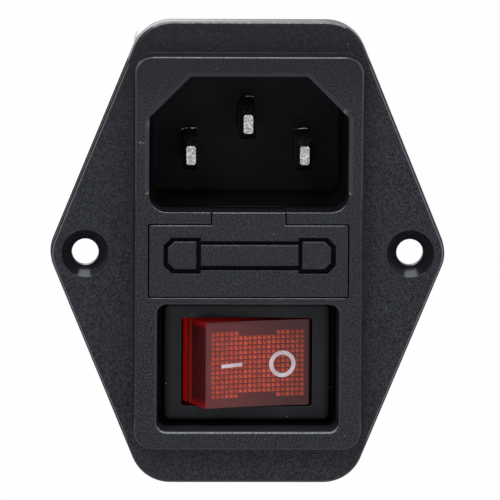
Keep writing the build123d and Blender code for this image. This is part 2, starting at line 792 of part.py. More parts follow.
def rocker_profile(inset):
    """Side view of the cap: a hollowed top between two sloping ends."""
    with BuildLine() as outline:
        end_x = rocker_half_length - inset
        top_y = inset - rocker_rise
        ThreePointArc((-end_x, top_y), (0, top_y + rocker_hollow), (end_x, top_y))
        Polyline(
            (end_x, top_y),
            (rocker_skirt_half - inset, -rocker_skirt),
            (inset - rocker_skirt_half, -rocker_skirt),
            (-end_x, top_y),
        )
    make_face(outline.edges())


def rocker_block(z, front, rear, half_length, height, mode=Mode.ADD):
    """Straight block in the rocker's own plane, centred on its length."""
    with Locations(rocker_plane):
        with Locations((0, (front + rear) / 2, z)):
            Box(2 * half_length, rear - front, height, mode=mode)


with BuildPart() as rocker_cap:
    with BuildSketch(rocker_plane):
        rocker_profile(0)
    extrude(amount=rocker_height / 2, both=True)
    sharp = rocker_cap.edges().filter_by(Axis.Z).group_by(Axis.Y)
    fillet(sharp[0] + sharp[1], rocker_edge_round)
    with BuildSketch(rocker_plane):
        rocker_profile(rocker_wall)
    extrude(amount=rocker_height / 2 - rocker_wall, both=True, mode=Mode.SUBTRACT)
    with Locations(rocker_plane):
        Cylinder(boss_radius + boss_clearance, rocker_height, mode=Mode.SUBTRACT)

rocker_cap.part.label = "rocker_cap"
export_step(rocker_cap.part, "parts/rocker_cap.step")

with BuildPart() as carrier:
    cradle_half_length = rocker_half_length - cradle_side_inset
    cradle_height = rocker_height - 2 * (rocker_wall + cradle_gap)
    rocker_block(0, -rocker_skirt, carrier_plate_rear, rocker_skirt_half - carrier_side_inset,
                 rocker_height - 2 * carrier_end_inset)
    rocker_block(0, -cradle_top, -rocker_skirt, cradle_half_length, cradle_height)
    rocker_block(0, carrier_plate_rear, stem_rear, stem_half_width, stem_height)
    with Locations(rocker_plane):
        Cylinder(boss_radius, rocker_height)
        Cylinder(trunnion_radius, window_height + 2 * trunnion_length)
        with Locations((0, -cradle_top, lamp_shift)):
            Cylinder(lamp_radius + trough_clearance, 2 * cradle_half_length, rotation=(0, 90, 0),
                     mode=Mode.SUBTRACT)
        with Locations((0, -lamp_resistor_top, lamp_resistor_shift)):
            Cylinder(lamp_resistor_radius + trough_clearance, 2 * cradle_half_length,
                     rotation=(0, 90, 0), mode=Mode.SUBTRACT)
        for side in (1, -1):
            with Locations((0, (bore_front + stem_rear) / 2, side * pole_offset)):
                Cylinder(bore_radius, stem_rear - bore_front, rotation=(90, 0, 0),
                         mode=Mode.SUBTRACT)
    rocker_block(lamp_resistor_shift, -cradle_top, -lamp_resistor_top, cradle_half_length,
                 2 * (lamp_resistor_radius + trough_clearance), mode=Mode.SUBTRACT)

carrier.part.label = "rocker_carrier"
export_step(carrier.part, "parts/rocker_carrier.step")


def lying_bulb(radius, length, y, z, end_round):
    """Round body with its two wires, lying along the rocker."""
    with BuildPart() as bulb:
        with Locations(rocker_plane):
            with Locations((0, y, z)):
                Cylinder(radius, length, rotation=(0, 90, 0))
        fillet(bulb.edges().filter_by(GeomType.CIRCLE), end_round)
        with Locations(rocker_plane):
            with Locations((0, y, z)):
                Cylinder(lamp_lead_radius, length + 2 * lamp_lead_length, rotation=(0, 90, 0))
    return bulb


glow_lamp = lying_bulb(lamp_radius, lamp_length, -cradle_top, lamp_shift, lamp_end_round)
glow_lamp.part.label = "glow_lamp"
export_step(glow_lamp.part, "parts/glow_lamp.step")

lamp_resistor = lying_bulb(lamp_resistor_radius, lamp_resistor_length, -lamp_resistor_top,
                           lamp_resistor_shift, lamp_resistor_end_round)
lamp_resistor.part.label = "lamp_resistor"
export_step(lamp_resistor.part, "parts/lamp_resistor.step")


# Plungers and their springs in the bores of the carrier
def plunger_and_spring(side):
    with BuildPart() as plunger:
        with BuildSketch(rocker_plane):
            shaft_rear = plunger_reach - plunger_tip_length
            ball_y = plunger_reach - plunger_tip_radius
            with BuildLine():
                Polyline(
                    (0, plunger_reach),
                    (0, plunger_front),
                    (plunger_radius, plunger_front),
                    (plunger_radius, shaft_rear),
                    (plunger_tip_radius, ball_y),
                )
                ThreePointArc(
                    (plunger_tip_radius, ball_y),
                    (plunger_tip_radius * cos(radians(45)),
                     ball_y + plunger_tip_radius * sin(radians(45))),
                    (0, plunger_reach),
                )
            make_face()
        revolve(axis=Axis(rocker_plane.origin, rocker_plane.y_dir))
    spring_front = rocker_plane.from_local_coords(Vector(0, bore_front + spring_wire_radius, 0))
    with BuildPart() as spring:
        with BuildLine() as coil:
            Helix(spring_pitch, plunger_front - bore_front - 2 * spring_wire_radius,
                  spring_radius, center=spring_front, direction=rocker_plane.y_dir)
        with BuildSketch(coil.line ^ 0):
            Circle(spring_wire_radius)
        sweep()
    lift = Pos(0, 0, side * pole_offset)
    return lift * plunger.part, lift * spring.part


line_plunger, line_spring = plunger_and_spring(1)
line_plunger.label = "plunger_line"
export_step(line_plunger, "parts/plunger_line.step")
line_spring.label = "plunger_spring_line"
export_step(line_spring, "parts/plunger_spring_line.step")

neutral_plunger, neutral_spring = plunger_and_spring(-1)
neutral_plunger.label = "plunger_neutral"
export_step(neutral_plunger, "parts/plunger_neutral.step")
neutral_spring.label = "plunger_spring_neutral"
export_step(neutral_spring, "parts/plunger_spring_neutral.step")


# See-saw contact blades on their fulcrum terminals
def contact_blade(side):
    blade_plane = Plane(
        origin=(0, blade_pivot_y, switch_z + side * pole_offset),
        x_dir=(cos(radians(blade_tilt)), -sin(radians(blade_tilt)), 0),
        z_dir=(0, 0, 1),
    )
    underside = [
        (-blade_left, -blade_dip),
        (-blade_dip_half, -blade_dip),
        (0, 0),
        (blade_dip_half, -blade_dip),
        (contact_x + blade_past_contact, -blade_dip),
    ]
    topside = [(x, y - blade_sheet) for x, y in reversed(underside)]
    with BuildPart() as blade:
        with BuildSketch(blade_plane):
            Polygon(*underside, *topside, align=None)
        extrude(amount=terminal_width / 2 - blade_side_inset, both=True)
        with Locations(blade_plane):
            with Locations((contact_x, contact_height / 2 - blade_dip, 0)):
                Cylinder(contact_radius, contact_height, rotation=(90, 0, 0))
    return blade


line_blade = contact_blade(1)
line_blade.part.label = "contact_blade_line"
export_step(line_blade.part, "parts/contact_blade_line.step")

neutral_blade = contact_blade(-1)
neutral_blade.part.label = "contact_blade_neutral"
export_step(neutral_blade.part, "parts/contact_blade_neutral.step")


def terminal_tail(x, z):
    """Sheet blade through the switch floor, narrowed to a lead that ends behind the board."""
    tail_start = (switch_rear_y + board_y) / 2
    slab(x, chamber_floor_y - terminal_sheet, z, terminal_sheet, tail_start, terminal_width)
    slab(x, tail_start, z, terminal_sheet, lead_end_y, lead_width)


def fulcrum_terminal(side):
    z = switch_z + side * pole_offset
    with BuildPart() as terminal:
        slab(0, blade_pivot_y + fulcrum_gap, z, terminal_sheet, chamber_floor_y, terminal_width)
        fillet(terminal.edges().filter_by(Axis.Z).group_by(Axis.Y)[0], fulcrum_round)
        terminal_tail(0, z)
    return terminal


def contact_terminal(side):
    z = switch_z + side * pole_offset
    drop = contact_x * sin(radians(blade_tilt)) + contact_radius * sin(radians(blade_tilt))
    closed_y = blade_pivot_y + drop + (contact_height - blade_dip) * cos(radians(blade_tilt))
    pad_y = closed_y + contact_gap + contact_height
    with BuildPart() as terminal:
        with Locations((contact_x, pad_y - contact_height / 2, z)):
            Cylinder(contact_radius, contact_height, rotation=(90, 0, 0))
        slab(contact_x, pad_y, z, pad_length, pad_y + pad_sheet, terminal_width)
        slab(contact_x, pad_y, z, terminal_sheet, chamber_floor_y, terminal_width)
        terminal_tail(contact_x, z)
    return terminal


line_fulcrum = fulcrum_terminal(1)
line_fulcrum.part.label = "switch_fulcrum_line"
export_step(line_fulcrum.part, "parts/switch_fulcrum_line.step")

neutral_fulcrum = fulcrum_terminal(-1)
neutral_fulcrum.part.label = "switch_fulcrum_neutral"
export_step(neutral_fulcrum.part, "parts/switch_fulcrum_neutral.step")

line_contact = contact_terminal(1)
line_contact.part.label = "switch_contact_line"
export_step(line_contact.part, "parts/switch_contact_line.step")

neutral_contact = contact_terminal(-1)
neutral_contact.part.label = "switch_contact_neutral"
export_step(neutral_contact.part, "parts/switch_contact_neutral.step")

# Circuit board with a hole for every lead and peg
front_lead_end_y = board_y - lead_proud
winding_radius = core_outer_radius + wire_size / 2
winding_step = radians(winding_span) / (winding_turns - 1)
choke_lead_angle = radians(winding_span) / 2
choke_lead_x = winding_radius * cos(choke_lead_angle)
choke_lead_z = winding_radius * sin(choke_lead_angle)
strip_leads = pin_places + terminal_places
strip_leads += [(side * clip_x, drawer_z) for side in (1, -1)]
strip_leads += [(0, strap_z)]
tail_leads = [(side * tab_spacing / 2, terminal_z) for side in (1, -1)]
wire_leads = [(side * x_capacitor_pitch / 2, x_capacitor_z) for side in (1, -1)]
wire_leads += [(side * choke_lead_x, choke_z + end * choke_lead_z)
               for side in (1, -1) for end in (1, -1)]
wire_leads += [(side * y_capacitor_x + end * y_capacitor_pitch / 2, y_capacitor_z)
               for side in (1, -1) for end in (1, -1)]
wire_leads += [(resistor_x + end * resistor_pitch / 2, resistor_z) for end in (1, -1)]
pegs = [(x, z) for x in (post_x, -post_x) for z in (post_z, -post_z)]

with BuildPart() as board:
    with BuildSketch(depth_plane(board_y)):
        RectangleRounded(board_width, board_height, board_corner_radius)
        hole_groups = [
            (strip_leads, ((lead_width ** 2 + lead_sheet ** 2) ** 0.5) / 2),
            (tail_leads, ((tail_width ** 2 + faston_sheet ** 2) ** 0.5) / 2),
            (wire_leads, choke_lead_radius),
            (pegs, peg_radius),
        ]
        for places, radius in hole_groups:
            with Locations(*places):
                Circle(radius + lead_hole_clearance, mode=Mode.SUBTRACT)
    extrude(amount=-board_thickness)

board.part.label = "circuit_board"
export_step(board.part, "parts/circuit_board.step")

# Choke: ring core on its flat side, two windings, and a divider through its hole
with BuildPart() as core:
    with BuildSketch(depth_plane(core_front_y)):
        with Locations((0, choke_z)):
            Circle(core_outer_radius)
            Circle(core_inner_radius + winding_clearance, mode=Mode.SUBTRACT)
    extrude(amount=-core_height)
    chamfer(core.edges().filter_by(GeomType.CIRCLE), core_edge_cut)

core.part.label = "choke_core"
export_step(core.part, "parts/choke_core.step")


def turn_section(plane, grow, corner):
    """Section of the wire layer around the core, in a plane through the choke's axis."""
    with BuildSketch(plane) as section:
        with Locations(((core_inner_radius + core_outer_radius) / 2,
                        (core_front_y + core_rear_y) / 2)):
            core_width = core_outer_radius - core_inner_radius
            RectangleRounded(core_width + 2 * grow, core_height + 2 * grow, corner)
            Rectangle(core_width, core_height, mode=Mode.SUBTRACT)
    return section.sketch


def choke_winding(turned):
    def radial_plane(angle):
        return Plane(origin=(0, 0, choke_z), x_dir=(cos(angle), 0, sin(angle)),
                     z_dir=(-sin(angle), 0, cos(angle)))

    with BuildPart() as winding:
        layer = turn_section(radial_plane(turned + choke_lead_angle), winding_base, winding_base)
        revolve(layer, axis=Axis((0, 0, choke_z), (0, 1, 0)), revolution_arc=winding_span)
        for turn in range(winding_turns):
            angle = turned + choke_lead_angle - turn * winding_step
            extrude(turn_section(radial_plane(angle), wire_size, winding_round),
                    amount=wire_size / 2, both=True)
        for end in (1, -1):
            angle = turned + end * choke_lead_angle
            with BuildSketch(depth_plane(front_lead_end_y)):
                with Locations((winding_radius * cos(angle),
                                choke_z + winding_radius * sin(angle))):
                    Circle(choke_lead_radius)
            extrude(amount=-(core_front_y - front_lead_end_y))
    return winding


line_winding = choke_winding(0)
line_winding.part.label = "choke_winding_line"
export_step(line_winding.part, "parts/choke_winding_line.step")

neutral_winding = choke_winding(radians(180))
neutral_winding.part.label = "choke_winding_neutral"
export_step(neutral_winding.part, "parts/choke_winding_neutral.step")

with BuildPart() as divider:
    slab(0, lead_end_y + divider_clearance, choke_z, divider_sheet, core_rear_y + wire_size,
         2 * (core_inner_radius - divider_clearance))

divider.part.label = "choke_divider"
export_step(divider.part, "parts/choke_divider.step")


def board_leads(places, radius, y_start):
    """Wires from a part behind the board through to its front side."""
    with BuildSketch(depth_plane(front_lead_end_y)) as leads:
        with Locations(*places):
            Circle(radius)
    extrude(leads.sketch, amount=-(y_start - front_lead_end_y))


with BuildPart() as x_capacitor:
    slab(0, board_rear_y, x_capacitor_z, x_capacitor_width, board_rear_y + x_capacitor_height,
         x_capacitor_thickness)
    fillet(x_capacitor.edges(), x_capacitor_round)
    board_leads([(side * x_capacitor_pitch / 2, x_capacitor_z) for side in (1, -1)],
                choke_lead_radius, board_rear_y + x_capacitor_round)

x_capacitor.part.label = "x_capacitor"
export_step(x_capacitor.part, "parts/x_capacitor.step")


def y_capacitor(side):
    x = side * y_capacitor_x
    y = board_rear_y + y_capacitor_lift + y_capacitor_radius
    with BuildPart() as disc:
        with Locations((x, y, y_capacitor_z)):
            Cylinder(y_capacitor_radius, y_capacitor_thickness)
        fillet(disc.edges().filter_by(GeomType.CIRCLE), y_capacitor_round)
        board_leads([(x + end * y_capacitor_pitch / 2, y_capacitor_z) for end in (1, -1)],
                    wire_lead_radius, y)
    return disc


line_y_capacitor = y_capacitor(1)
line_y_capacitor.part.label = "y_capacitor_line"
export_step(line_y_capacitor.part, "parts/y_capacitor_line.step")

neutral_y_capacitor = y_capacitor(-1)
neutral_y_capacitor.part.label = "y_capacitor_neutral"
export_step(neutral_y_capacitor.part, "parts/y_capacitor_neutral.step")

with BuildPart() as bleed_resistor:
    resistor_y = board_rear_y + resistor_radius + y_capacitor_lift
    resistor_length = resistor_pitch - 2 * resistor_lead_run
    end_x = resistor_length / 2 - resistor_end_length / 2
    with Locations((resistor_x, resistor_y, resistor_z)):
        Cylinder(resistor_radius - resistor_waist, resistor_length, rotation=(0, 90, 0))
    with Locations(*[(resistor_x + end * end_x, resistor_y, resistor_z) for end in (1, -1)]):
        Cylinder(resistor_radius, resistor_end_length, rotation=(0, 90, 0))
    left_x = resistor_x - resistor_pitch / 2
    right_x = resistor_x + resistor_pitch / 2
    with BuildLine(Plane.XY.offset(resistor_z)) as resistor_wire:
        FilletPolyline(
            (left_x, front_lead_end_y),
            (left_x, resistor_y),
            (right_x, resistor_y),
            (right_x, front_lead_end_y),
            radius=resistor_bend,
        )
    with BuildSketch(resistor_wire.line ^ 0):
        Circle(wire_lead_radius)
    sweep()

bleed_resistor.part.label = "bleed_resistor"
export_step(bleed_resistor.part, "parts/bleed_resistor.step")

# Screening can: drawn sheet, open to the front, with windows for the housing's lugs
block_window = (block_width + 2 * block_clearance, block_height + 2 * block_clearance)
with BuildPart() as can:
    with BuildSketch(depth_plane(plinth_height)):
        RectangleRounded(can_width, can_height, can_corner_radius)
    extrude(amount=-(can_depth - plinth_height))
    fillet(can.faces().sort_by(Axis.Y)[-1].edges(), can_edge_round)
    offset(amount=-can_sheet, openings=can.faces().sort_by(Axis.Y)[0])
    slab(0, lug_y - lug_length / 2 - lug_window_clearance, 0, 2 * can_width,
         lug_y + lug_length / 2 + lug_window_clearance, lug_width + 2 * lug_window_clearance,
         mode=Mode.SUBTRACT)
    slab(0, can_floor_y, terminal_z, block_window[0], can_depth, block_window[1],
         mode=Mode.SUBTRACT)
    with Locations((0, can_depth, earth_z)):
        Cylinder(rivet_radius + rivet_clearance, 2 * can_sheet, rotation=(90, 0, 0),
                 mode=Mode.SUBTRACT)

can.part.label = "shield_can"
export_step(can.part, "parts/shield_can.step")

# Insulating liner inside the can, from the housing's skirt to the can's back
strap_window = (strap_width + 2 * strap_window_clearance,
                strap_foot_end - strap_z + strap_sheet + 2 * strap_window_clearance)
with BuildPart() as liner:
    liner_corner = can_corner_radius - can_sheet - liner_clearance
    with BuildSketch(depth_plane(skirt_depth)):
        RectangleRounded(liner_width, liner_height, liner_corner)
    extrude(amount=-(can_floor_y - skirt_depth))
    fillet(liner.faces().sort_by(Axis.Y)[-1].edges(), can_edge_round)
    offset(amount=-liner_sheet, openings=liner.faces().sort_by(Axis.Y)[0])
    slab(0, can_floor_y - liner_sheet, terminal_z, block_window[0], can_floor_y,
         block_window[1], mode=Mode.SUBTRACT)
    slab(0, can_floor_y - liner_sheet, (strap_z + strap_foot_end) / 2, strap_window[0],
         can_floor_y, strap_window[1], mode=Mode.SUBTRACT)

liner.part.label = "insulating_liner"
export_step(liner.part, "parts/insulating_liner.step")

# Terminal block in the back of the can, with a slot for each tab
block_rear_y = can_depth + block_proud
collar_rear_y = can_floor_y - liner_sheet
with BuildPart() as terminal_block:
    slab(0, collar_rear_y - collar_thickness, terminal_z, block_width + 2 * collar_margin,
         collar_rear_y, block_height + 2 * collar_margin)
    slab(0, collar_rear_y, terminal_z, block_width, block_rear_y, block_height)
    fillet(terminal_block.faces().sort_by(Axis.Y)[-1].edges(), block_round)
    for side in (1, -1):
        x = side * tab_spacing / 2
        slab(x, block_rear_y - faston_seat, terminal_z, faston_width + 2 * terminal_clearance,
             block_rear_y, faston_sheet + 2 * terminal_clearance, mode=Mode.SUBTRACT)
        slab(x, collar_rear_y - collar_thickness, terminal_z,
             tail_width + 2 * terminal_clearance, block_rear_y,
             faston_sheet + 2 * terminal_clearance, mode=Mode.SUBTRACT)

terminal_block.part.label = "terminal_block"
export_step(terminal_block.part, "parts/terminal_block.step")


# Push-on tabs for the load side
def push_on_tab(x):
    with BuildPart() as tab:
        tip_y = block_rear_y + faston_reach
        slab(x, block_rear_y - faston_seat, terminal_z, faston_width, tip_y, faston_sheet)
        chamfer(tab.edges().filter_by(Axis.Z).group_by(Axis.Y)[-1], faston_tip_chamfer)
        with Locations((x, tip_y - faston_hole_inset, terminal_z)):
            Cylinder(faston_hole_radius, faston_sheet, mode=Mode.SUBTRACT)
        slab(x, front_lead_end_y, terminal_z, tail_width, block_rear_y - faston_seat,
             faston_sheet)
    return tab


line_tab = push_on_tab(tab_spacing / 2)
line_tab.part.label = "line_tab"
export_step(line_tab.part, "parts/line_tab.step")

neutral_tab = push_on_tab(-tab_spacing / 2)
neutral_tab.part.label = "neutral_tab"
export_step(neutral_tab.part, "parts/neutral_tab.step")

# Earth tab: a foot on the back of the can, bent up into a push-on tab
foot_top_z = earth_z + earth_foot_length / 2
with BuildPart() as earth_tab:
    tip_y = can_depth + faston_reach + faston_sheet
    with BuildSketch(Plane.YZ) as earth_sketch:
        Polygon(
            (can_depth, earth_z - earth_foot_length / 2),
            (can_depth, foot_top_z + faston_sheet),
            (tip_y, foot_top_z + faston_sheet),
            (tip_y, foot_top_z),
            (can_depth + faston_sheet, foot_top_z),
            (can_depth + faston_sheet, earth_z - earth_foot_length / 2),
            align=None,
        )
        corners = earth_sketch.vertices()
        fillet(corners.sort_by_distance((can_depth + faston_sheet, foot_top_z))[0],
               earth_bend_radius)
        outer = earth_sketch.vertices().sort_by_distance((can_depth, foot_top_z + faston_sheet))[0]
        fillet(outer, earth_bend_radius + faston_sheet)
    extrude(amount=faston_width / 2, both=True)
    chamfer(earth_tab.edges().filter_by(Axis.Z).group_by(Axis.Y)[-1], faston_tip_chamfer)
    with Locations((0, tip_y - faston_hole_inset, foot_top_z + faston_sheet / 2)):
        Cylinder(faston_hole_radius, faston_sheet, mode=Mode.SUBTRACT)
    with Locations((0, can_depth + faston_sheet / 2, earth_z)):
        Cylinder(rivet_radius + rivet_clearance, faston_sheet, rotation=(90, 0, 0),
                 mode=Mode.SUBTRACT)

earth_tab.part.label = "earth_tab"
export_step(earth_tab.part, "parts/earth_tab.step")

# Earth strap from the board to the inner side of the can's back
with BuildPart() as strap:
    strap_foot_y = can_floor_y - strap_sheet
    slab(0, board_rear_y, strap_z, strap_width, can_floor_y, strap_sheet)
    slab(0, front_lead_end_y, strap_z, lead_width, board_rear_y, strap_sheet)
    slab(0, strap_foot_y, (strap_z - strap_sheet / 2 + strap_foot_end) / 2, strap_width,
         can_floor_y, strap_foot_end - strap_z + strap_sheet / 2)
    with Locations((0, strap_foot_y + strap_sheet / 2, earth_z)):
        Cylinder(rivet_radius + rivet_clearance, strap_sheet, rotation=(90, 0, 0),
                 mode=Mode.SUBTRACT)

strap.part.label = "earth_strap"
export_step(strap.part, "parts/earth_strap.step")

# Rivet through strap, can and earth tab
with BuildPart() as rivet:
    rivet_front_y = strap_foot_y - rivet_head_height
    rivet_rear_y = can_depth + faston_sheet
    with BuildSketch(depth_plane(rivet_front_y)):
        with Locations((0, earth_z)):
            Circle(rivet_radius)
    extrude(amount=-(rivet_rear_y + rivet_head_height - rivet_front_y))
    with Locations(*[(0, y + rivet_head_height / 2, earth_z) for y in (rivet_front_y, rivet_rear_y)]):
        Cylinder(rivet_head_radius, rivet_head_height, rotation=(90, 0, 0))
    ends = rivet.edges().filter_by(GeomType.CIRCLE).group_by(Axis.Y)
    fillet(ends[0] + ends[-1], rivet_head_height / 2)

rivet.part.label = "earth_rivet"
export_step(rivet.part, "parts/earth_rivet.step")
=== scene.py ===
import math
from collections import namedtuple

import bmesh
import bpy
from mathutils import Matrix, Vector


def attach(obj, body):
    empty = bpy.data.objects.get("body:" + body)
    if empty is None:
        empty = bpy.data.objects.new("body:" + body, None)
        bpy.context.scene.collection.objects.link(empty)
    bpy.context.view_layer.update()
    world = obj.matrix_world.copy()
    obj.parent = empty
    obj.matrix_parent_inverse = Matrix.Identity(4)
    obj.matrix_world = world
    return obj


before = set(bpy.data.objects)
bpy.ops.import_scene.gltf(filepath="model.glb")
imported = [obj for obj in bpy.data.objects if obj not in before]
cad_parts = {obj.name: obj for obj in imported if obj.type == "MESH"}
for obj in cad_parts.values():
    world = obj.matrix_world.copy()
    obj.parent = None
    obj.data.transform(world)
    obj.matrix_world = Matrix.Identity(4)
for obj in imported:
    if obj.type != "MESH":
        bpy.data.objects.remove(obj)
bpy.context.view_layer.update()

MM = 0.001

# Places and sizes of the part, in millimetres, as the frame has them
FRONT_Y = -5.2
FLANGE_FRONT_Y = -2.5
INLET_FLOOR_Y = 10.8
INLET_BOTTOM_Z = 5.5
SCREW_X = 20.0
COUNTERSINK_RADIUS = 2.95
BEZEL_HALF = 14.15
RECESS_HALF = 11.2
RECESS_TOP_Z = -5.975
SWITCH_FRAME_HALF = 10.5
SWITCH_FRAME_HALF_HEIGHT = 7.45
DRAWER_TOP_Z = 3.9
DRAWER_SIGN_DEPTH = 0.5

# Depth at which painted shade starts to darken the moulding inside
PAINTED_SHADE_START_Y = -1.85

# The rocker with its skirts, its prism grid and its marks
PIVOT = (0.0, 3.7, -13.9)
ROCKER_TILT = math.radians(14.0)
ROCKER_RISE = 5.7
ROCKER_HOLLOW = 0.4
ROCKER_HALF = 6.7
ROCKER_SKIRT_HALF = 7.55
SKIRT_RADIUS = 7.95
SKIRT_HALF_HEIGHT = 5.2
PRISM_PITCH = 0.6
MARK_LIFT = 0.03
MARK_SINK = 0.05

# The photograph's view: a long lens close to square on, with the scale at the flange
VIEW_AZIMUTH = math.radians(-1.75)
VIEW_ELEVATION = math.radians(8.7)
VIEW_ROLL = math.radians(0.37)
VIEW_DISTANCE = 700.0
PIXELS_PER_MM = 8.13
IMAGE_SIDE = 500
SENSOR_WIDTH = 36.0
AIM = (0.25, FLANGE_FRONT_Y, 0.45)

# The stage, in millimetres, and the world's light on the part
FLOOR_Z = -62.0
BACKDROP_Y = 2900.0
SHEET_HALF = 3000.0
WORLD_LIGHT = 0.45

FrontPoint = namedtuple("FrontPoint", "facing upward wide depth level from_screw")


def add(tree, kind, inputs=None, **settings):
    """Adds a shader node; each input is a value or another node's output."""
    node = tree.nodes.new("ShaderNode" + kind)
    for name, value in settings.items():
        setattr(node, name, value)
    for name, value in (inputs or {}).items():
        if isinstance(value, bpy.types.NodeSocket):
            tree.links.new(value, node.inputs[name])
        else:
            node.inputs[name].default_value = value
    return node


def calc(tree, operation, first, second=0.0, clamp=False):
    """One math node's output."""
    node = add(tree, "Math", {0: first, 1: second}, operation=operation)
    node.use_clamp = clamp
    return node.outputs[0]


def blend_color(tree, factor, first, second):
    """Output of a colour mix of two colours or sockets."""
    node = add(tree, "Mix", data_type="RGBA")
    for index, value in ((0, factor), (6, first), (7, second)):
        if isinstance(value, bpy.types.NodeSocket):
            tree.links.new(value, node.inputs[index])
        else:
            node.inputs[index].default_value = value
    return node.outputs[2]


def rgb(red, green, blue):
    """Opaque colour."""
    return (red, green, blue, 1.0)


def base_material(name):
    """New material, its tree, its shader and the place on the object in millimetres."""
    material = bpy.data.materials.new(name)
    material.use_nodes = True
    tree = material.node_tree
    shader = tree.nodes["Principled BSDF"]
    coordinates = add(tree, "TexCoord")
    place = add(tree, "VectorMath", {0: coordinates.outputs["Object"], 1: (1 / MM,) * 3},
                operation="MULTIPLY")
    return material, tree, shader, place.outputs[0]


def noise(tree, place, scale, detail=2.0, roughness=0.5):
    """Noise value from zero to one at a place."""
    return add(tree, "TexNoise", {"Vector": place, "Scale": scale, "Detail": detail,
                                  "Roughness": roughness}).outputs["Fac"]


def ramp(tree, factor, low, high, first=0.0, second=1.0):
    """Smooth step of a value from first at low to second at high."""
    node = add(tree, "MapRange", {"Value": factor, "From Min": low, "From Max": high,
                                  "To Min": first, "To Max": second},
               interpolation_type="SMOOTHSTEP")
    return node.outputs["Result"]


def times(tree, first, *others):
    """Product of several values."""
    for other in others:
        first = calc(tree, "MULTIPLY", first, other)
    return first


def band(tree, value, start, full, fading, end):
    """One while a value lies from full to fading, and zero outside start and end."""
    return times(tree, ramp(tree, value, start, full), ramp(tree, value, end, fading))


def bump(tree, shader, height, distance, strength, normal=None):
    """Relief on the shader's normal, its depth in millimetres."""
    node = add(tree, "Bump", {"Height": height, "Distance": distance * MM, "Strength": strength})
    if normal is not None:
        tree.links.new(normal, node.inputs["Normal"])
    tree.links.new(node.outputs["Normal"], shader.inputs["Normal"])
    return node.outputs["Normal"]


def edge_lines(tree, radius):
    """Rounded normal, how near an edge is, and how far the rounded edge looks up."""
    rounded = add(tree, "Bevel", {"Radius": radius * MM}, samples=4).outputs[0]
    plain = add(tree, "NewGeometry").outputs["Normal"]
    match = add(tree, "VectorMath", {0: rounded, 1: plain}, operation="DOT_PRODUCT")
    near = ramp(tree, match.outputs["Value"], 0.995, 0.86)
    return rounded, near, add(tree, "SeparateXYZ", {0: rounded}).outputs[2]


def dust(tree, place, share, size):
    """Sparse bright specks, share of a speck per cubic millimetre."""
    cells = add(tree, "TexVoronoi", {"Vector": place, "Scale": 1.0})
    near = ramp(tree, cells.outputs["Distance"], size, size * 0.5)
    pick = add(tree, "SeparateColor", {0: cells.outputs["Color"]}).outputs[0]
    return calc(tree, "MULTIPLY", near, calc(tree, "LESS_THAN", pick, share))


def spot(tree, place, x, z, width, height, turn=0.0):
    """Soft patch of a given size on the front, turned by some degrees."""
    moved = add(tree, "VectorMath", {0: place, 1: (x, 0.0, z)}, operation="SUBTRACT").outputs[0]
    turned = add(tree, "Mapping", {"Vector": moved, "Rotation": (0, math.radians(turn), 0),
                                   "Scale": (2 / width, 0.0, 2 / height)}).outputs[0]
    reach = add(tree, "VectorMath", {0: turned}, operation="LENGTH").outputs["Value"]
    return ramp(tree, reach, 1.0, 0.3)


def front_point(tree, place):
    """How the surface faces and where it lies on the moulding, as outputs of nodes."""
    normal = add(tree, "SeparateXYZ", {0: add(tree, "NewGeometry").outputs["Normal"]}).outputs
    across, depth, level = add(tree, "SeparateXYZ", {0: place}).outputs
    wide = calc(tree, "ABSOLUTE", across)
    arm = add(tree, "CombineXYZ", {0: calc(tree, "SUBTRACT", wide, SCREW_X), 2: level}).outputs[0]
    from_screw = add(tree, "VectorMath", {0: arm}, operation="LENGTH").outputs["Value"]
    return FrontPoint(calc(tree, "ABSOLUTE", normal[1]), normal[2], wide, depth, level, from_screw)


def grained_shade(tree, place, point, fine, grain):
    """Colour of the grained faces, with light specks, and painted shade darker towards the top."""
    speck = ramp(tree, noise(tree, place, 5.5, 1.0), 0.6, 0.78)
    coarse = noise(tree, place, 0.13, 2.0)
    shade = blend_color(tree, ramp(tree, fine, 0.42, 0.6), rgb(0.0006, 0.0008, 0.0014),
                        rgb(0.027, 0.029, 0.038))
    shade = blend_color(tree, times(tree, speck, 0.6 * grain), shade, rgb(0.06, 0.062, 0.07))
    shade = blend_color(tree, ramp(tree, coarse, 0.35, 0.75, 0.0, 0.3), shade,
                        rgb(0.016, 0.017, 0.023))
    # Painted shade: darker towards the top of the part
    return blend_color(tree, ramp(tree, point.level, 17.0, 24.0, 0.0, 0.45), shade,
                       rgb(0.002, 0.0022, 0.003))


def smooth_shade(tree, point, outside):
    """Colour of the smooth walls: lighter in the switch recess and on the lip, painted shade dark
    inside.
    """
    recess = times(tree, ramp(tree, point.level, RECESS_TOP_Z + 0.575, RECESS_TOP_Z - 0.025),
                   ramp(tree, point.wide, RECESS_HALF + 0.7, RECESS_HALF + 0.3))
    lip = times(tree, ramp(tree, point.facing, 0.3, 0.5),
                ramp(tree, point.depth, FRONT_Y + 1.0, FRONT_Y + 0.6),
                ramp(tree, point.level, INLET_BOTTOM_Z + 1.0, INLET_BOTTOM_Z + 2.5))
    wall = blend_color(tree, recess, rgb(0.011, 0.0115, 0.0135), rgb(0.02, 0.021, 0.025))
    wall = blend_color(tree, lip, wall, rgb(0.034, 0.035, 0.045))
    # Painted shade: nearly black deeper than the shade's start
    return blend_color(tree, outside, rgb(0.0033, 0.0034, 0.0038), wall)


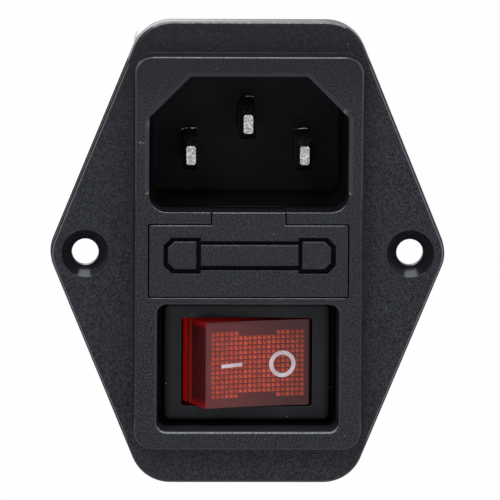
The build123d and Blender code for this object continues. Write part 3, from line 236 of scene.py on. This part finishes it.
def painted_highlight_lines(tree, place, point, shade, fine, edge, outside, bare):
    """Painted highlights: light lines on edges and on round faces that look up, none in the bare
    patches.
    """
    near, upward = edge
    # Painted highlight: the lines are brighter where the rounded edge looks up
    lit = calc(tree, "ADD", 0.16, ramp(tree, upward, 0.05, 0.6, 0.0, 0.84))
    line = times(tree, near, lit, ramp(tree, noise(tree, place, 2.6, 2.0, 0.7), 0.3, 0.62, 0.25, 1.0),
                 outside)
    for x, z, width, height in bare:
        patch = spot(tree, place, x, z, width, height)
        line = times(tree, line, calc(tree, "SUBTRACT", 1.0, patch, clamp=True))
    # Painted highlight on rounded faces that look up
    curved_highlight = times(tree, ramp(tree, point.upward, 0.2, 0.5),
                   band(tree, point.facing, 0.25, 0.5, 0.93, 0.985),
                   ramp(tree, point.wide, RECESS_HALF + 0.8, RECESS_HALF + 0.4),
                   ramp(tree, fine, 0.4, 0.6, 0.3, 1.0), outside)
    shade = blend_color(tree, times(tree, line, 0.9), shade, rgb(0.15, 0.155, 0.17))
    return blend_color(tree, curved_highlight, shade, rgb(0.24, 0.245, 0.26))


def marked_shade(tree, place, shade, outside, scuffs):
    """Dust specks and scuffs over the shade."""
    marks = times(tree, dust(tree, place, 0.16, 0.085), outside)
    streaks = ramp(tree, noise(tree, place, 5.0, 3.0, 0.7), 0.45, 0.62)
    for x, z, width, height, turn in scuffs:
        patch = spot(tree, place, x, z, width, height, turn)
        marks = calc(tree, "MAXIMUM", marks, times(tree, patch, streaks))
    return blend_color(tree, times(tree, marks, 0.8), shade, rgb(0.22, 0.225, 0.24))


def textured_plastic(name, grain, scuffs, bare=(), groove=False):
    """Black moulded plastic: fine spark-eroded grain on what faces the front, smooth walls.

    Deep inside it is painted darker as shade, and duller, and so is a groove cut into its front.
    """
    material, tree, shader, place = base_material(name)
    point = front_point(tree, place)
    fine = noise(tree, place, 5.0, 2.0, 0.8)
    rounded, *edge = edge_lines(tree, 0.13)
    # Painted shade mask: zero deep inside the moulding, where the colour is darkened
    outside = ramp(tree, point.depth, PAINTED_SHADE_START_Y + 0.25, PAINTED_SHADE_START_Y)
    shine = ramp(tree, point.depth, PAINTED_SHADE_START_Y, PAINTED_SHADE_START_Y + 0.35, 0.38, 0.19)
    if groove:
        # Painted shade in the sunken field below the drawer's top, deeper than its front
        above = ramp(tree, point.level, DRAWER_TOP_Z - 0.5, DRAWER_TOP_Z - 0.2)
        on_top = ramp(tree, point.depth, FRONT_Y + 0.35, FRONT_Y + 0.1)
        outside = times(tree, outside, calc(tree, "MAXIMUM", above, on_top))
        shine = times(tree, shine, calc(tree, "ADD", 0.05, outside))
    front = times(tree, ramp(tree, point.facing, 0.93, 0.99), outside)
    cone = times(tree, ramp(tree, point.from_screw, COUNTERSINK_RADIUS + 0.15,
                            COUNTERSINK_RADIUS + 0.05), band(tree, point.facing, 0.5, 0.6, 0.8, 0.9))
    # Painted highlight and painted shade on the flange's outer edges: a light line and a dark side
    rim = times(tree, ramp(tree, point.wide, BEZEL_HALF + 0.45, BEZEL_HALF + 0.85),
                ramp(tree, point.from_screw, COUNTERSINK_RADIUS + 0.15, COUNTERSINK_RADIUS + 0.35))
    rim_highlight = times(tree, rim, band(tree, point.facing, 0.76, 0.88, 0.97, 0.995))
    rim_shade = times(tree, rim, ramp(tree, point.facing, 0.85, 0.72))

    shade = blend_color(tree, front, smooth_shade(tree, point, outside),
                        grained_shade(tree, place, point, fine, grain))
    shade = blend_color(tree, cone, shade, rgb(0.0085, 0.009, 0.0115))
    shade = painted_highlight_lines(tree, place, point, shade, fine, edge, outside, bare)
    shade = blend_color(tree, times(tree, rim_highlight, 0.6), shade, rgb(0.15, 0.155, 0.17))
    shade = blend_color(tree, rim_shade, shade, rgb(0.002, 0.0021, 0.0025))
    shade = marked_shade(tree, place, shade, outside, scuffs)
    tree.links.new(shade, shader.inputs["Base Color"])

    rough = calc(tree, "ADD", 0.27, times(tree, front, 0.23))
    rough = calc(tree, "ADD", rough, times(tree, noise(tree, place, 0.8), 0.1))
    rough = calc(tree, "ADD", rough, ramp(tree, point.depth, -1.0, 1.4, 0.0, 0.2))
    rough = calc(tree, "SUBTRACT", rough, times(tree, cone, 0.17))
    tree.links.new(rough, shader.inputs["Roughness"])
    shine = calc(tree, "SUBTRACT", shine, times(tree, rim_shade, 0.3))
    shine = calc(tree, "SUBTRACT", shine, times(tree, front, 0.1))
    tree.links.new(shine, shader.inputs["Specular IOR Level"])
    shader.inputs["Specular Tint"].default_value = rgb(0.88, 0.93, 1.0)
    bump(tree, shader, times(tree, fine, front, grain), 0.1, 0.9, rounded)
    return material


def smooth_plastic(name, color, roughness, wobble=0.35):
    """Moulded plastic with a smooth tool finish and a faint unevenness."""
    material, tree, shader, place = base_material(name)
    darker = tuple(0.7 * value for value in color[:3]) + (1.0,)
    patches = ramp(tree, noise(tree, place, 0.35, 3.0), 0.3, 0.7)
    tree.links.new(blend_color(tree, patches, darker, color), shader.inputs["Base Color"])
    rough = ramp(tree, noise(tree, place, 1.3, 3.0), 0.2, 0.8, roughness * 0.85, roughness * 1.2)
    tree.links.new(rough, shader.inputs["Roughness"])
    shader.inputs["Specular IOR Level"].default_value = 0.45
    bump(tree, shader, noise(tree, place, 2.2, 2.0), 0.02, wobble)
    return material


def switch_plastic():
    """Smooth black switch plastic, with dust, painted highlight lines on edges and painted shade on
    its rim.
    """
    material, tree, shader, place = base_material("switch_plastic")
    patches = ramp(tree, noise(tree, place, 0.3, 3.0), 0.3, 0.7)
    shade = blend_color(tree, patches, rgb(0.005, 0.0055, 0.0066), rgb(0.0085, 0.0092, 0.0112))
    rounded, near, upward = edge_lines(tree, 0.12)
    # Painted highlight: edge lines brighter where they look up
    lit = times(tree, near, ramp(tree, upward, 0.05, 0.6, 0.06, 0.55))
    shade = blend_color(tree, lit, shade, rgb(0.11, 0.115, 0.125))
    axes = add(tree, "SeparateXYZ", {0: place}).outputs
    wide = calc(tree, "ABSOLUTE", axes[0])
    high = calc(tree, "ABSOLUTE", calc(tree, "SUBTRACT", axes[2], PIVOT[2]))
    side = ramp(tree, wide, SWITCH_FRAME_HALF - 1.4, SWITCH_FRAME_HALF - 0.1)
    end = ramp(tree, high, SWITCH_FRAME_HALF_HEIGHT - 0.95, SWITCH_FRAME_HALF_HEIGHT - 0.05)
    # Painted shade: the frame darkens towards its sides and ends
    rim = calc(tree, "MAXIMUM", side, times(tree, end, 0.6))
    shade = blend_color(tree, times(tree, rim, 0.85), shade, rgb(0.0015, 0.0016, 0.002))
    shade = blend_color(tree, times(tree, dust(tree, place, 0.3, 0.09), 0.85), shade,
                        rgb(0.3, 0.3, 0.31))
    tree.links.new(shade, shader.inputs["Base Color"])
    rough = ramp(tree, noise(tree, place, 1.1, 3.0), 0.2, 0.8, 0.3, 0.42)
    tree.links.new(rough, shader.inputs["Roughness"])
    tree.links.new(calc(tree, "SUBTRACT", 0.27, times(tree, rim, 0.19)),
                   shader.inputs["Specular IOR Level"])
    shader.inputs["Specular Tint"].default_value = rgb(0.84, 0.92, 1.0)
    bump(tree, shader, noise(tree, place, 1.6, 2.0), 0.012, 0.4, rounded)
    return material


def sheet_metal(name, color, roughness, stretch):
    """Metal with drawn lines along one axis and faint blotches."""
    material, tree, shader, place = base_material(name)
    lines = add(tree, "VectorMath", {0: place, 1: stretch}, operation="MULTIPLY").outputs[0]
    streaks = noise(tree, lines, 2.5, 4.0, 0.6)
    blotches = noise(tree, place, 0.09, 3.0)
    darker = tuple(0.74 * value for value in color[:3]) + (1.0,)
    tone = calc(tree, "ADD", times(tree, streaks, 0.5), times(tree, blotches, 0.5))
    tree.links.new(blend_color(tree, ramp(tree, tone, 0.3, 0.65), darker, color),
                   shader.inputs["Base Color"])
    shader.inputs["Metallic"].default_value = 1.0
    rough = ramp(tree, streaks, 0.2, 0.8, roughness * 0.75, roughness * 1.35)
    tree.links.new(rough, shader.inputs["Roughness"])
    bump(tree, shader, streaks, 0.006, 0.5)
    return material


def rocker_turned(tree, vector):
    """Parts of a vector in the rocker's own plane."""
    turned = add(tree, "Mapping", {"Vector": vector, "Rotation": (0, 0, -ROCKER_TILT)})
    return add(tree, "SeparateXYZ", {0: turned.outputs[0]}).outputs


def prism_cell(tree, value):
    """Place within one square of the prism grid, from minus to plus one half, and its number."""
    steps = calc(tree, "DIVIDE", value, PRISM_PITCH)
    return calc(tree, "SUBTRACT", calc(tree, "FRACT", steps), 0.5), calc(tree, "FLOOR", steps)


def prism_grid(tree, place, along, across):
    """Where the prisms under the face are, and their colour, with a painted highlight in each.

    The field has 20 columns. The middle 8 have 12 rows, and the others 14.
    """
    (left, column), (up, row) = prism_cell(tree, along), prism_cell(tree, across)
    distance = calc(tree, "MAXIMUM", calc(tree, "ABSOLUTE", left), calc(tree, "ABSOLUTE", up))
    ragged = times(tree, noise(tree, place, 3.5, 1.0), 0.16)
    dot = ramp(tree, calc(tree, "ADD", distance, ragged), 0.53, 0.4)
    far = calc(tree, "ABSOLUTE", along)
    waist = 4 * PRISM_PITCH
    limit = ramp(tree, far, waist - 0.02, waist + 0.02, 6 * PRISM_PITCH, 7 * PRISM_PITCH)
    field = times(tree, calc(tree, "LESS_THAN", calc(tree, "ABSOLUTE", across), limit),
                  calc(tree, "LESS_THAN", far, 10 * PRISM_PITCH))
    number = add(tree, "CombineXYZ", {0: column, 1: row}).outputs[0]
    chance = add(tree, "TexWhiteNoise", {"Vector": number}).outputs["Value"]
    # Painted highlight: each prism is lighter towards one corner
    prism_highlight = ramp(tree, calc(tree, "ADD", left, up), 0.45, -0.35, 0.35, 1.0)
    power = times(tree, prism_highlight, calc(tree, "ADD", 0.6, times(tree, chance, 0.5)),
                  ramp(tree, far, 1.5, 6.0, 1.0, 0.72))
    return times(tree, dot, field), blend_color(tree, power, rgb(0.1, 0.008, 0.008),
                                                rgb(0.62, 0.075, 0.032))


def rocker_plastic():
    """Clear red plastic with rows of small prisms under its face, with painted light and glow where it
    is thin.
    """
    material, tree, shader, place = base_material("clear_red")
    shifted = add(tree, "VectorMath", {0: place, 1: PIVOT}, operation="SUBTRACT").outputs[0]
    along, depth, across = rocker_turned(tree, shifted)
    looks = rocker_turned(tree, add(tree, "TexCoord").outputs["Normal"])[1]
    face = times(tree, ramp(tree, looks, -0.7, -0.93), ramp(tree, depth, -4.9, -5.1),
                 ramp(tree, across, 5.06, 4.92), ramp(tree, across, -5.3, -5.2))
    dots, prism = prism_grid(tree, place, along, across)

    # Painted sheen and shade: the face is lighter towards one end, darker towards the other
    top = blend_color(tree, ramp(tree, along, -6.0, 6.5), rgb(0.115, 0.02, 0.023),
                      rgb(0.05, 0.009, 0.011))
    haze = ramp(tree, noise(tree, place, 0.5, 2.0), 0.3, 0.7, 0.0, 0.5)
    top = blend_color(tree, haze, top, rgb(0.09, 0.008, 0.01))
    # Painted light: the thin walls are bright red, most towards one end
    side = ramp(tree, calc(tree, "ABSOLUTE", across), 4.3, 5.25, 0.0, 0.4)
    thin = times(tree, calc(tree, "MAXIMUM", side, ramp(tree, depth, -2.0, -0.9)),
                 ramp(tree, along, 3.0, -6.0, 0.15, 1.0), ramp(tree, looks, -0.9, -0.5))
    wall = blend_color(tree, thin, rgb(0.085, 0.01, 0.013), rgb(0.4, 0.006, 0.003))
    body = blend_color(tree, face, wall, top)
    tree.links.new(blend_color(tree, times(tree, dots, face), body, prism),
                   shader.inputs["Base Color"])
    # Painted glow: emission on the thin walls, though the cap is no lamp
    glow = times(tree, thin, calc(tree, "SUBTRACT", 1.0, face), 0.13)
    shader.inputs["Emission Color"].default_value = rgb(1.0, 0.012, 0.006)
    tree.links.new(glow, shader.inputs["Emission Strength"])
    shader.inputs["Roughness"].default_value = 0.2
    shader.inputs["Specular IOR Level"].default_value = 0.3
    shader.inputs["Coat Weight"].default_value = 0.08
    shader.inputs["Coat Roughness"].default_value = 0.08
    bump(tree, shader, noise(tree, place, 1.5, 2.0), 0.015, 0.35)
    return material


def pin_metal():
    """Nickel of the inlet pins: worn tips, sides painted dark as shade of the well, a painted glint at
    the root.
    """
    material, tree, shader, place = base_material("pin_nickel")
    normal = add(tree, "NewGeometry").outputs["Normal"]
    facing, upward = add(tree, "SeparateXYZ", {0: normal}).outputs[1:3]
    tip = ramp(tree, facing, -0.8, -0.97)
    worn = ramp(tree, noise(tree, place, 4.0, 3.0, 0.7), 0.4, 0.62)
    nickel = blend_color(tree, worn, rgb(0.3, 0.3, 0.31), rgb(0.8, 0.79, 0.77))
    # Painted shade: the pins' sides are darker than their worn tips
    nickel = blend_color(tree, tip, rgb(0.22, 0.22, 0.23), nickel)
    depth = add(tree, "SeparateXYZ", {0: place}).outputs[1]
    # Painted glint: bright colour and a forward-tilted normal at the root
    root = times(tree, band(tree, depth, INLET_FLOOR_Y - 1.1, INLET_FLOOR_Y - 0.7,
                            INLET_FLOOR_Y + 0.1, INLET_FLOOR_Y + 0.4),
                 ramp(tree, upward, 0.2, 0.6), ramp(tree, noise(tree, place, 1.6, 2.0), 0.4, 0.6))
    nickel = blend_color(tree, root, nickel, rgb(0.95, 0.94, 0.9))
    tree.links.new(nickel, shader.inputs["Base Color"])
    shader.inputs["Metallic"].default_value = 1.0
    tree.links.new(ramp(tree, worn, 0.0, 1.0, 0.38, 0.22), shader.inputs["Roughness"])
    rough_normal = bump(tree, shader, worn, 0.02, 0.6)
    glint_normal = add(tree, "Mix", {0: root, 4: rough_normal, 5: (0.0, -1.0, 0.1)}, data_type="VECTOR")
    tree.links.new(glint_normal.outputs[1], shader.inputs["Normal"])
    return material


def glass(name, color):
    """Clear glass with a faint uneven tint."""
    material, tree, shader, place = base_material(name)
    tint = ramp(tree, noise(tree, place, 0.6), 0.3, 0.7)
    darker = tuple(0.93 * value for value in color[:3]) + (1.0,)
    tree.links.new(blend_color(tree, tint, darker, color), shader.inputs["Base Color"])
    shader.inputs["Transmission Weight"].default_value = 0.9
    shader.inputs["Roughness"].default_value = 0.04
    shader.inputs["IOR"].default_value = 1.48
    bump(tree, shader, noise(tree, place, 0.8), 0.01, 0.3)
    return material


def board_laminate():
    """Green laminate with copper lines showing faintly through the mask."""
    material, tree, shader, place = base_material("board_laminate")
    squares = add(tree, "TexBrick", {"Vector": place, "Scale": 0.32, "Mortar Size": 0.06,
                                     "Color1": rgb(0.02, 0.13, 0.045),
                                     "Color2": rgb(0.025, 0.17, 0.06),
                                     "Mortar": rgb(0.012, 0.08, 0.03)})
    tree.links.new(squares.outputs["Color"], shader.inputs["Base Color"])
    shader.inputs["Roughness"].default_value = 0.35
    bump(tree, shader, noise(tree, place, 6.0), 0.01, 0.4)
    return material


def give(material, *nodes):
    """Puts a material on carried-over nodes."""
    for name in nodes:
        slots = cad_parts[name].data.materials
        slots.clear()
        slots.append(material)


def dress_frame(drawer, red):
    """Materials of every node that stays as the frame has it."""
    inlet_scuffs = (
        (-12.3, 16.2, 0.7, 1.6, 0.0),
        (11.8, 17.9, 0.9, 1.1, 35.0),
        (-13.1, 14.1, 1.5, 0.35, -35.0),
    )
    inlet_corners = ((-12.43, 7.76, 3.0, 3.0), (12.6, 7.76, 3.0, 3.0))
    give(textured_plastic("housing_black", 1.0, inlet_scuffs, inlet_corners), "housing")
    give(drawer, "fuse_drawer")
    give(switch_plastic(), "switch_body")
    give(red, "rocker_cap")
    give(smooth_plastic("carrier_plastic", rgb(0.03, 0.03, 0.032), 0.4), "rocker_carrier",
         "plunger_line", "plunger_neutral")
    give(smooth_plastic("block_plastic", rgb(0.016, 0.016, 0.018), 0.38), "terminal_block",
         "choke_divider")
    give(pin_metal(), "line_pin", "neutral_pin", "earth_pin")
    give(sheet_metal("spring_steel", rgb(0.7, 0.68, 0.62), 0.25, (1.0, 0.4, 1.0)),
         "fuse_clip_line", "fuse_clip_load", "plunger_spring_line", "plunger_spring_neutral")
    give(sheet_metal("contact_brass", rgb(0.78, 0.6, 0.34), 0.3, (1.0, 0.4, 1.0)),
         "switch_fulcrum_line", "switch_fulcrum_neutral", "switch_contact_line",
         "switch_contact_neutral", "contact_blade_line", "contact_blade_neutral")
    give(sheet_metal("tab_tin", rgb(0.78, 0.77, 0.73), 0.26, (2.5, 0.25, 1.0)), "line_tab",
         "neutral_tab", "earth_tab")
    give(sheet_metal("can_nickel", rgb(0.46, 0.455, 0.44), 0.32, (1.0, 0.12, 1.0)), "shield_can",
         "earth_strap", "earth_rivet")
    give(smooth_plastic("liner_film", rgb(0.62, 0.6, 0.52), 0.45), "insulating_liner")
    give(board_laminate(), "circuit_board")
    give(smooth_plastic("core_ferrite", rgb(0.03, 0.045, 0.035), 0.5, 0.8), "choke_core")
    give(sheet_metal("winding_copper", rgb(0.72, 0.32, 0.14), 0.3, (1.0, 1.0, 1.0)),
         "choke_winding_line", "choke_winding_neutral")
    give(smooth_plastic("x_capacitor_case", rgb(0.6, 0.4, 0.04), 0.35), "x_capacitor")
    give(smooth_plastic("y_capacitor_coat", rgb(0.03, 0.11, 0.36), 0.4, 0.8),
         "y_capacitor_line", "y_capacitor_neutral")
    give(smooth_plastic("resistor_coat", rgb(0.2, 0.34, 0.4), 0.35), "bleed_resistor",
         "lamp_resistor")
    give(glass("fuse_glass", rgb(0.95, 0.97, 0.96)), "fuse_tube", "spare_fuse_tube", "glow_lamp")
    give(sheet_metal("fuse_nickel", rgb(0.8, 0.79, 0.76), 0.18, (0.3, 1.0, 1.0)), "fuse_caps",
         "spare_fuse_caps", "fuse_wire", "spare_fuse_wire")


def mesh_piece(name, material, body, slot, builder, *sizes):
    """New object from a function that fills a bmesh in millimetres."""
    shape = bmesh.new()
    builder(shape, *sizes)
    bmesh.ops.scale(shape, vec=(MM,) * 3, verts=shape.verts)
    bmesh.ops.recalc_face_normals(shape, faces=shape.faces)
    mesh = bpy.data.meshes.new(name)
    shape.to_mesh(mesh)
    shape.free()
    piece = bpy.data.objects.new(name, mesh)
    bpy.context.scene.collection.objects.link(piece)
    mesh.materials.append(material)
    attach(piece, body)


def prism_faces(shape, rims):
    """Faces of a closed block between two rims of as many points."""
    count = len(rims[0])
    for index in range(count):
        after = (index + 1) % count
        shape.faces.new((rims[0][index], rims[0][after], rims[1][after], rims[1][index]))
    for rim in rims:
        shape.faces.new(rim)


def rocker_point(along, across, lift):
    """A point over the rocker's hollow face, lift millimetres in front of it."""
    radius = (ROCKER_HALF ** 2 + ROCKER_HOLLOW ** 2) / (2 * ROCKER_HOLLOW)
    sag = math.sqrt(radius ** 2 - along ** 2) - (radius - ROCKER_HOLLOW)
    depth = -ROCKER_RISE + sag - lift
    turned = Matrix.Rotation(ROCKER_TILT, 3, "Z") @ Vector((along, depth, across))
    return turned + Vector(PIVOT)


def raised_strip(shape, rows, closed):
    """Strip that stands proud of the rocker's face, from rows of two (along, across) pairs."""
    tops, lows = [[[shape.verts.new(rocker_point(*pair, lift)) for pair in row] for row in rows]
                  for lift in (MARK_LIFT, -MARK_SINK)]
    count = len(rows)
    for step in range(count if closed else count - 1):
        after = (step + 1) % count
        for layer in (tops, lows):
            shape.faces.new((layer[step][0], layer[after][0], layer[after][1], layer[step][1]))
        for side in (0, 1):
            shape.faces.new((tops[step][side], tops[after][side], lows[after][side],
                             lows[step][side]))
    if not closed:
        for end in (0, count - 1):
            shape.faces.new((tops[end][0], tops[end][1], lows[end][1], lows[end][0]))


def bar_mark(shape):
    """Straight mark on the raised half of the rocker, turned a little."""
    middle, half_length, half_width, low, turn = -3.3, 1.35, 0.225, -0.1, 0.058
    steps = 8
    rows = []
    for step in range(steps + 1):
        reach = half_length * (2 * step / steps - 1)
        rows.append([(middle + reach - turn * side * half_width,
                      low + turn * reach + side * half_width) for side in (-1, 1)])
    raised_strip(shape, rows, False)


def ring_mark(shape):
    """Round mark on the pressed half of the rocker."""
    middle, across_middle, outer, inner = 3.18, -0.15, 1.67, 1.15
    steps = 40
    rows = []
    for step in range(steps):
        angle = 2 * math.pi * step / steps
        rows.append([(middle + radius * math.cos(angle), across_middle + radius * math.sin(angle))
                     for radius in (outer, inner)])
    raised_strip(shape, rows, True)


def add_marks():
    """The two printed signs on the rocker."""
    paint = smooth_plastic("mark_paint", rgb(0.72, 0.6, 0.68), 0.4)
    mesh_piece("rocker_bar_mark", paint, "rocker", "rocker_red", bar_mark)
    mesh_piece("rocker_ring_mark", paint, "rocker", "rocker_red", ring_mark)


def skirt_wedge(shape, side):
    """Round foot of the cap's end, which turns about the pivot inside the window."""
    inner = side * (ROCKER_SKIRT_HALF - 0.03)
    arc = [math.radians(angle) for angle in (-8.5, -6, -3, 0, 4)]
    outline = [(inner, SKIRT_RADIUS * math.sin(arc[0]) + 0.1)]
    outline += [(side * SKIRT_RADIUS * math.cos(a), SKIRT_RADIUS * math.sin(a)) for a in arc]
    outline.append((inner, SKIRT_RADIUS * math.sin(arc[-1])))
    turn = Matrix.Rotation(ROCKER_TILT, 3, "Z")
    prism_faces(shape, [[shape.verts.new(turn @ Vector((x, y, height)) + Vector(PIVOT))
                         for x, y in outline] for height in (-SKIRT_HALF_HEIGHT, SKIRT_HALF_HEIGHT)])


def add_skirts(red):
    """The feet at both ends of the cap."""
    mesh_piece("rocker_skirt_left", red, "rocker", "rocker_red", skirt_wedge, -1)
    mesh_piece("rocker_skirt_right", red, "rocker", "rocker_red", skirt_wedge, 1)


def cut_block(shape, x, z, width, height, left_cut, right_cut):
    """Pad on the drawer's sign, with cut corners and a small bevel round its front face."""
    y_front, y_rear, edge = FRONT_Y + 0.01, FRONT_Y + DRAWER_SIGN_DEPTH, 0.1
    half, rise = width / 2, height / 2
    outline = []
    for corner_x, corner_z, cut in ((-1, -1, left_cut), (1, -1, right_cut), (1, 1, right_cut),
                                    (-1, 1, left_cut)):
        pair = [(corner_x * half, corner_z * (rise - cut)), (corner_x * (half - cut), corner_z * rise)]
        outline += pair if corner_x * corner_z > 0 else pair[::-1]
    outline = [point for index, point in enumerate(outline) if point != outline[index - 1]]
    prism_faces(shape, [[shape.verts.new((x + a, y, z + c)) for a, c in outline]
                        for y in (y_front, y_rear)])
    front_edges = [e for e in shape.edges if all(v.co.y < y_front + edge for v in e.verts)]
    bmesh.ops.bevel(shape, geom=front_edges, offset=edge, segments=2, affect="EDGES")


def add_drawer_pads(plastic):
    """Raised pads in the sunken field of the drawer: the cartridge sign of such drawers."""
    pads = {
        "drawer_pad_left": (-8.14, 0.17, 3.45, 3.42, 0.8, 0.0),
        "drawer_pad_middle": (0.14, 0.17, 11.93, 2.6, 0.0, 0.0),
        "drawer_pad_right": (8.36, 0.17, 3.5, 3.42, 0.0, 0.8),
    }
    for name, sizes in pads.items():
        mesh_piece(name, plastic, "drawer", "drawer_plastic", cut_block, *sizes)


def camera_direction():
    """Unit vector from the part towards the camera."""
    return Vector((
        math.sin(VIEW_AZIMUTH) * math.cos(VIEW_ELEVATION),
        -math.cos(VIEW_AZIMUTH) * math.cos(VIEW_ELEVATION),
        math.sin(VIEW_ELEVATION),
    ))


def add_camera():
    """Camera of the photograph, at the distance of its long lens."""
    data = bpy.data.cameras.new("camera")
    camera = bpy.data.objects.new("camera", data)
    bpy.context.scene.collection.objects.link(camera)
    bpy.context.scene.camera = camera
    data.sensor_width = SENSOR_WIDTH
    data.lens = PIXELS_PER_MM * SENSOR_WIDTH * VIEW_DISTANCE / IMAGE_SIDE
    data.clip_start = 0.01
    data.clip_end = 20.0
    back = camera_direction()
    camera.location = (Vector(AIM) + back * VIEW_DISTANCE) * MM
    aim = (-back).to_track_quat("-Z", "Y").to_matrix().to_4x4()
    roll = Matrix.Rotation(VIEW_ROLL, 4, "Z")
    camera.rotation_mode = "QUATERNION"
    camera.rotation_quaternion = (aim @ roll).to_quaternion()


def plain_white(name, share):
    """White surface that the camera sees mostly as plain white, with the shadows kept."""
    material = bpy.data.materials.new(name)
    material.use_nodes = True
    tree = material.node_tree
    tree.nodes.remove(tree.nodes["Principled BSDF"])
    path = add(tree, "LightPath").outputs
    seen = calc(tree, "MAXIMUM", path["Is Camera Ray"],
                calc(tree, "MAXIMUM", path["Is Glossy Ray"], path["Is Transmission Ray"]))
    paper = add(tree, "BsdfDiffuse", {"Color": rgb(0.8, 0.8, 0.8)})
    glow = add(tree, "Emission", {"Color": rgb(1, 1, 1), "Strength": 1.0})
    mix = add(tree, "MixShader", {0: calc(tree, "MULTIPLY", seen, share),
                                  1: paper.outputs[0], 2: glow.outputs[0]})
    tree.links.new(mix.outputs[0], tree.nodes["Material Output"].inputs["Surface"])
    return material


def add_sheet(name, place, turn, share):
    """Large flat sheet of the stage."""
    shape = bmesh.new()
    bmesh.ops.create_grid(shape, x_segments=1, y_segments=1, size=SHEET_HALF * MM)
    bmesh.ops.rotate(shape, cent=(0, 0, 0), matrix=Matrix.Rotation(turn, 3, "X"), verts=shape.verts)
    bmesh.ops.translate(shape, vec=Vector(place) * MM, verts=shape.verts)
    mesh = bpy.data.meshes.new(name)
    shape.to_mesh(mesh)
    shape.free()
    sheet = bpy.data.objects.new(name, mesh)
    bpy.context.scene.collection.objects.link(sheet)
    mesh.materials.append(plain_white(name + "_white", share))


def add_stage():
    """Floor well below the part, which hangs by its flange as in a panel, and white behind it."""
    add_sheet("floor", (0, 0, FLOOR_Z), 0.0, 0.985)
    add_sheet("backdrop", (0, BACKDROP_Y, 0), math.radians(90), 1.0)

    world = bpy.data.worlds.new("studio")
    bpy.context.scene.world = world
    world.use_nodes = True
    tree = world.node_tree
    path = add(tree, "LightPath").outputs
    seen = calc(tree, "MAXIMUM", path["Is Camera Ray"], path["Is Transmission Ray"])
    back = tree.nodes["Background"]
    back.inputs["Color"].default_value = rgb(1, 1, 1)
    strength = calc(tree, "ADD", WORLD_LIGHT, times(tree, seen, 1.0 - WORLD_LIGHT))
    tree.links.new(strength, back.inputs["Strength"])


def add_lamp(name, place, target, size, power):
    """Soft rectangular lamp, its place and size in millimetres, its power in watts."""
    data = bpy.data.lights.new(name, "AREA")
    data.shape = "RECTANGLE"
    data.size, data.size_y = size[0] * MM, size[1] * MM
    data.energy = power
    lamp = bpy.data.objects.new(name, data)
    bpy.context.scene.collection.objects.link(lamp)
    lamp.location = Vector(place) * MM
    aim = Vector(target) - Vector(place)
    lamp.rotation_mode = "QUATERNION"
    lamp.rotation_quaternion = aim.to_track_quat("-Z", "Y")


def add_lamps():
    """Light from the front and above, from the side, and from behind."""
    add_lamp("key_softbox", (-160, -330, 330), (0, 0, 0), (260, 260), 1.1)
    add_lamp("top_softbox", (40, -40, 420), (0, 0, 0), (320, 220), 0.9)
    add_lamp("side_fill", (380, -260, 60), (0, 0, 0), (200, 300), 0.45)
    add_lamp("back_fill", (-120, 380, 200), (0, 20, 0), (300, 240), 0.5)


drawer_scuffs = ((8.1, 6.5, 0.3, 1.6, 20.0),)
drawer_plastic = textured_plastic("drawer_black", 0.9, drawer_scuffs, groove=True)
rocker_red = rocker_plastic()
dress_frame(drawer_plastic, rocker_red)
add_marks()
add_skirts(rocker_red)
add_drawer_pads(drawer_plastic)
add_camera()
add_stage()
add_lamps()

bpy.context.scene.view_settings.view_transform = "Standard"
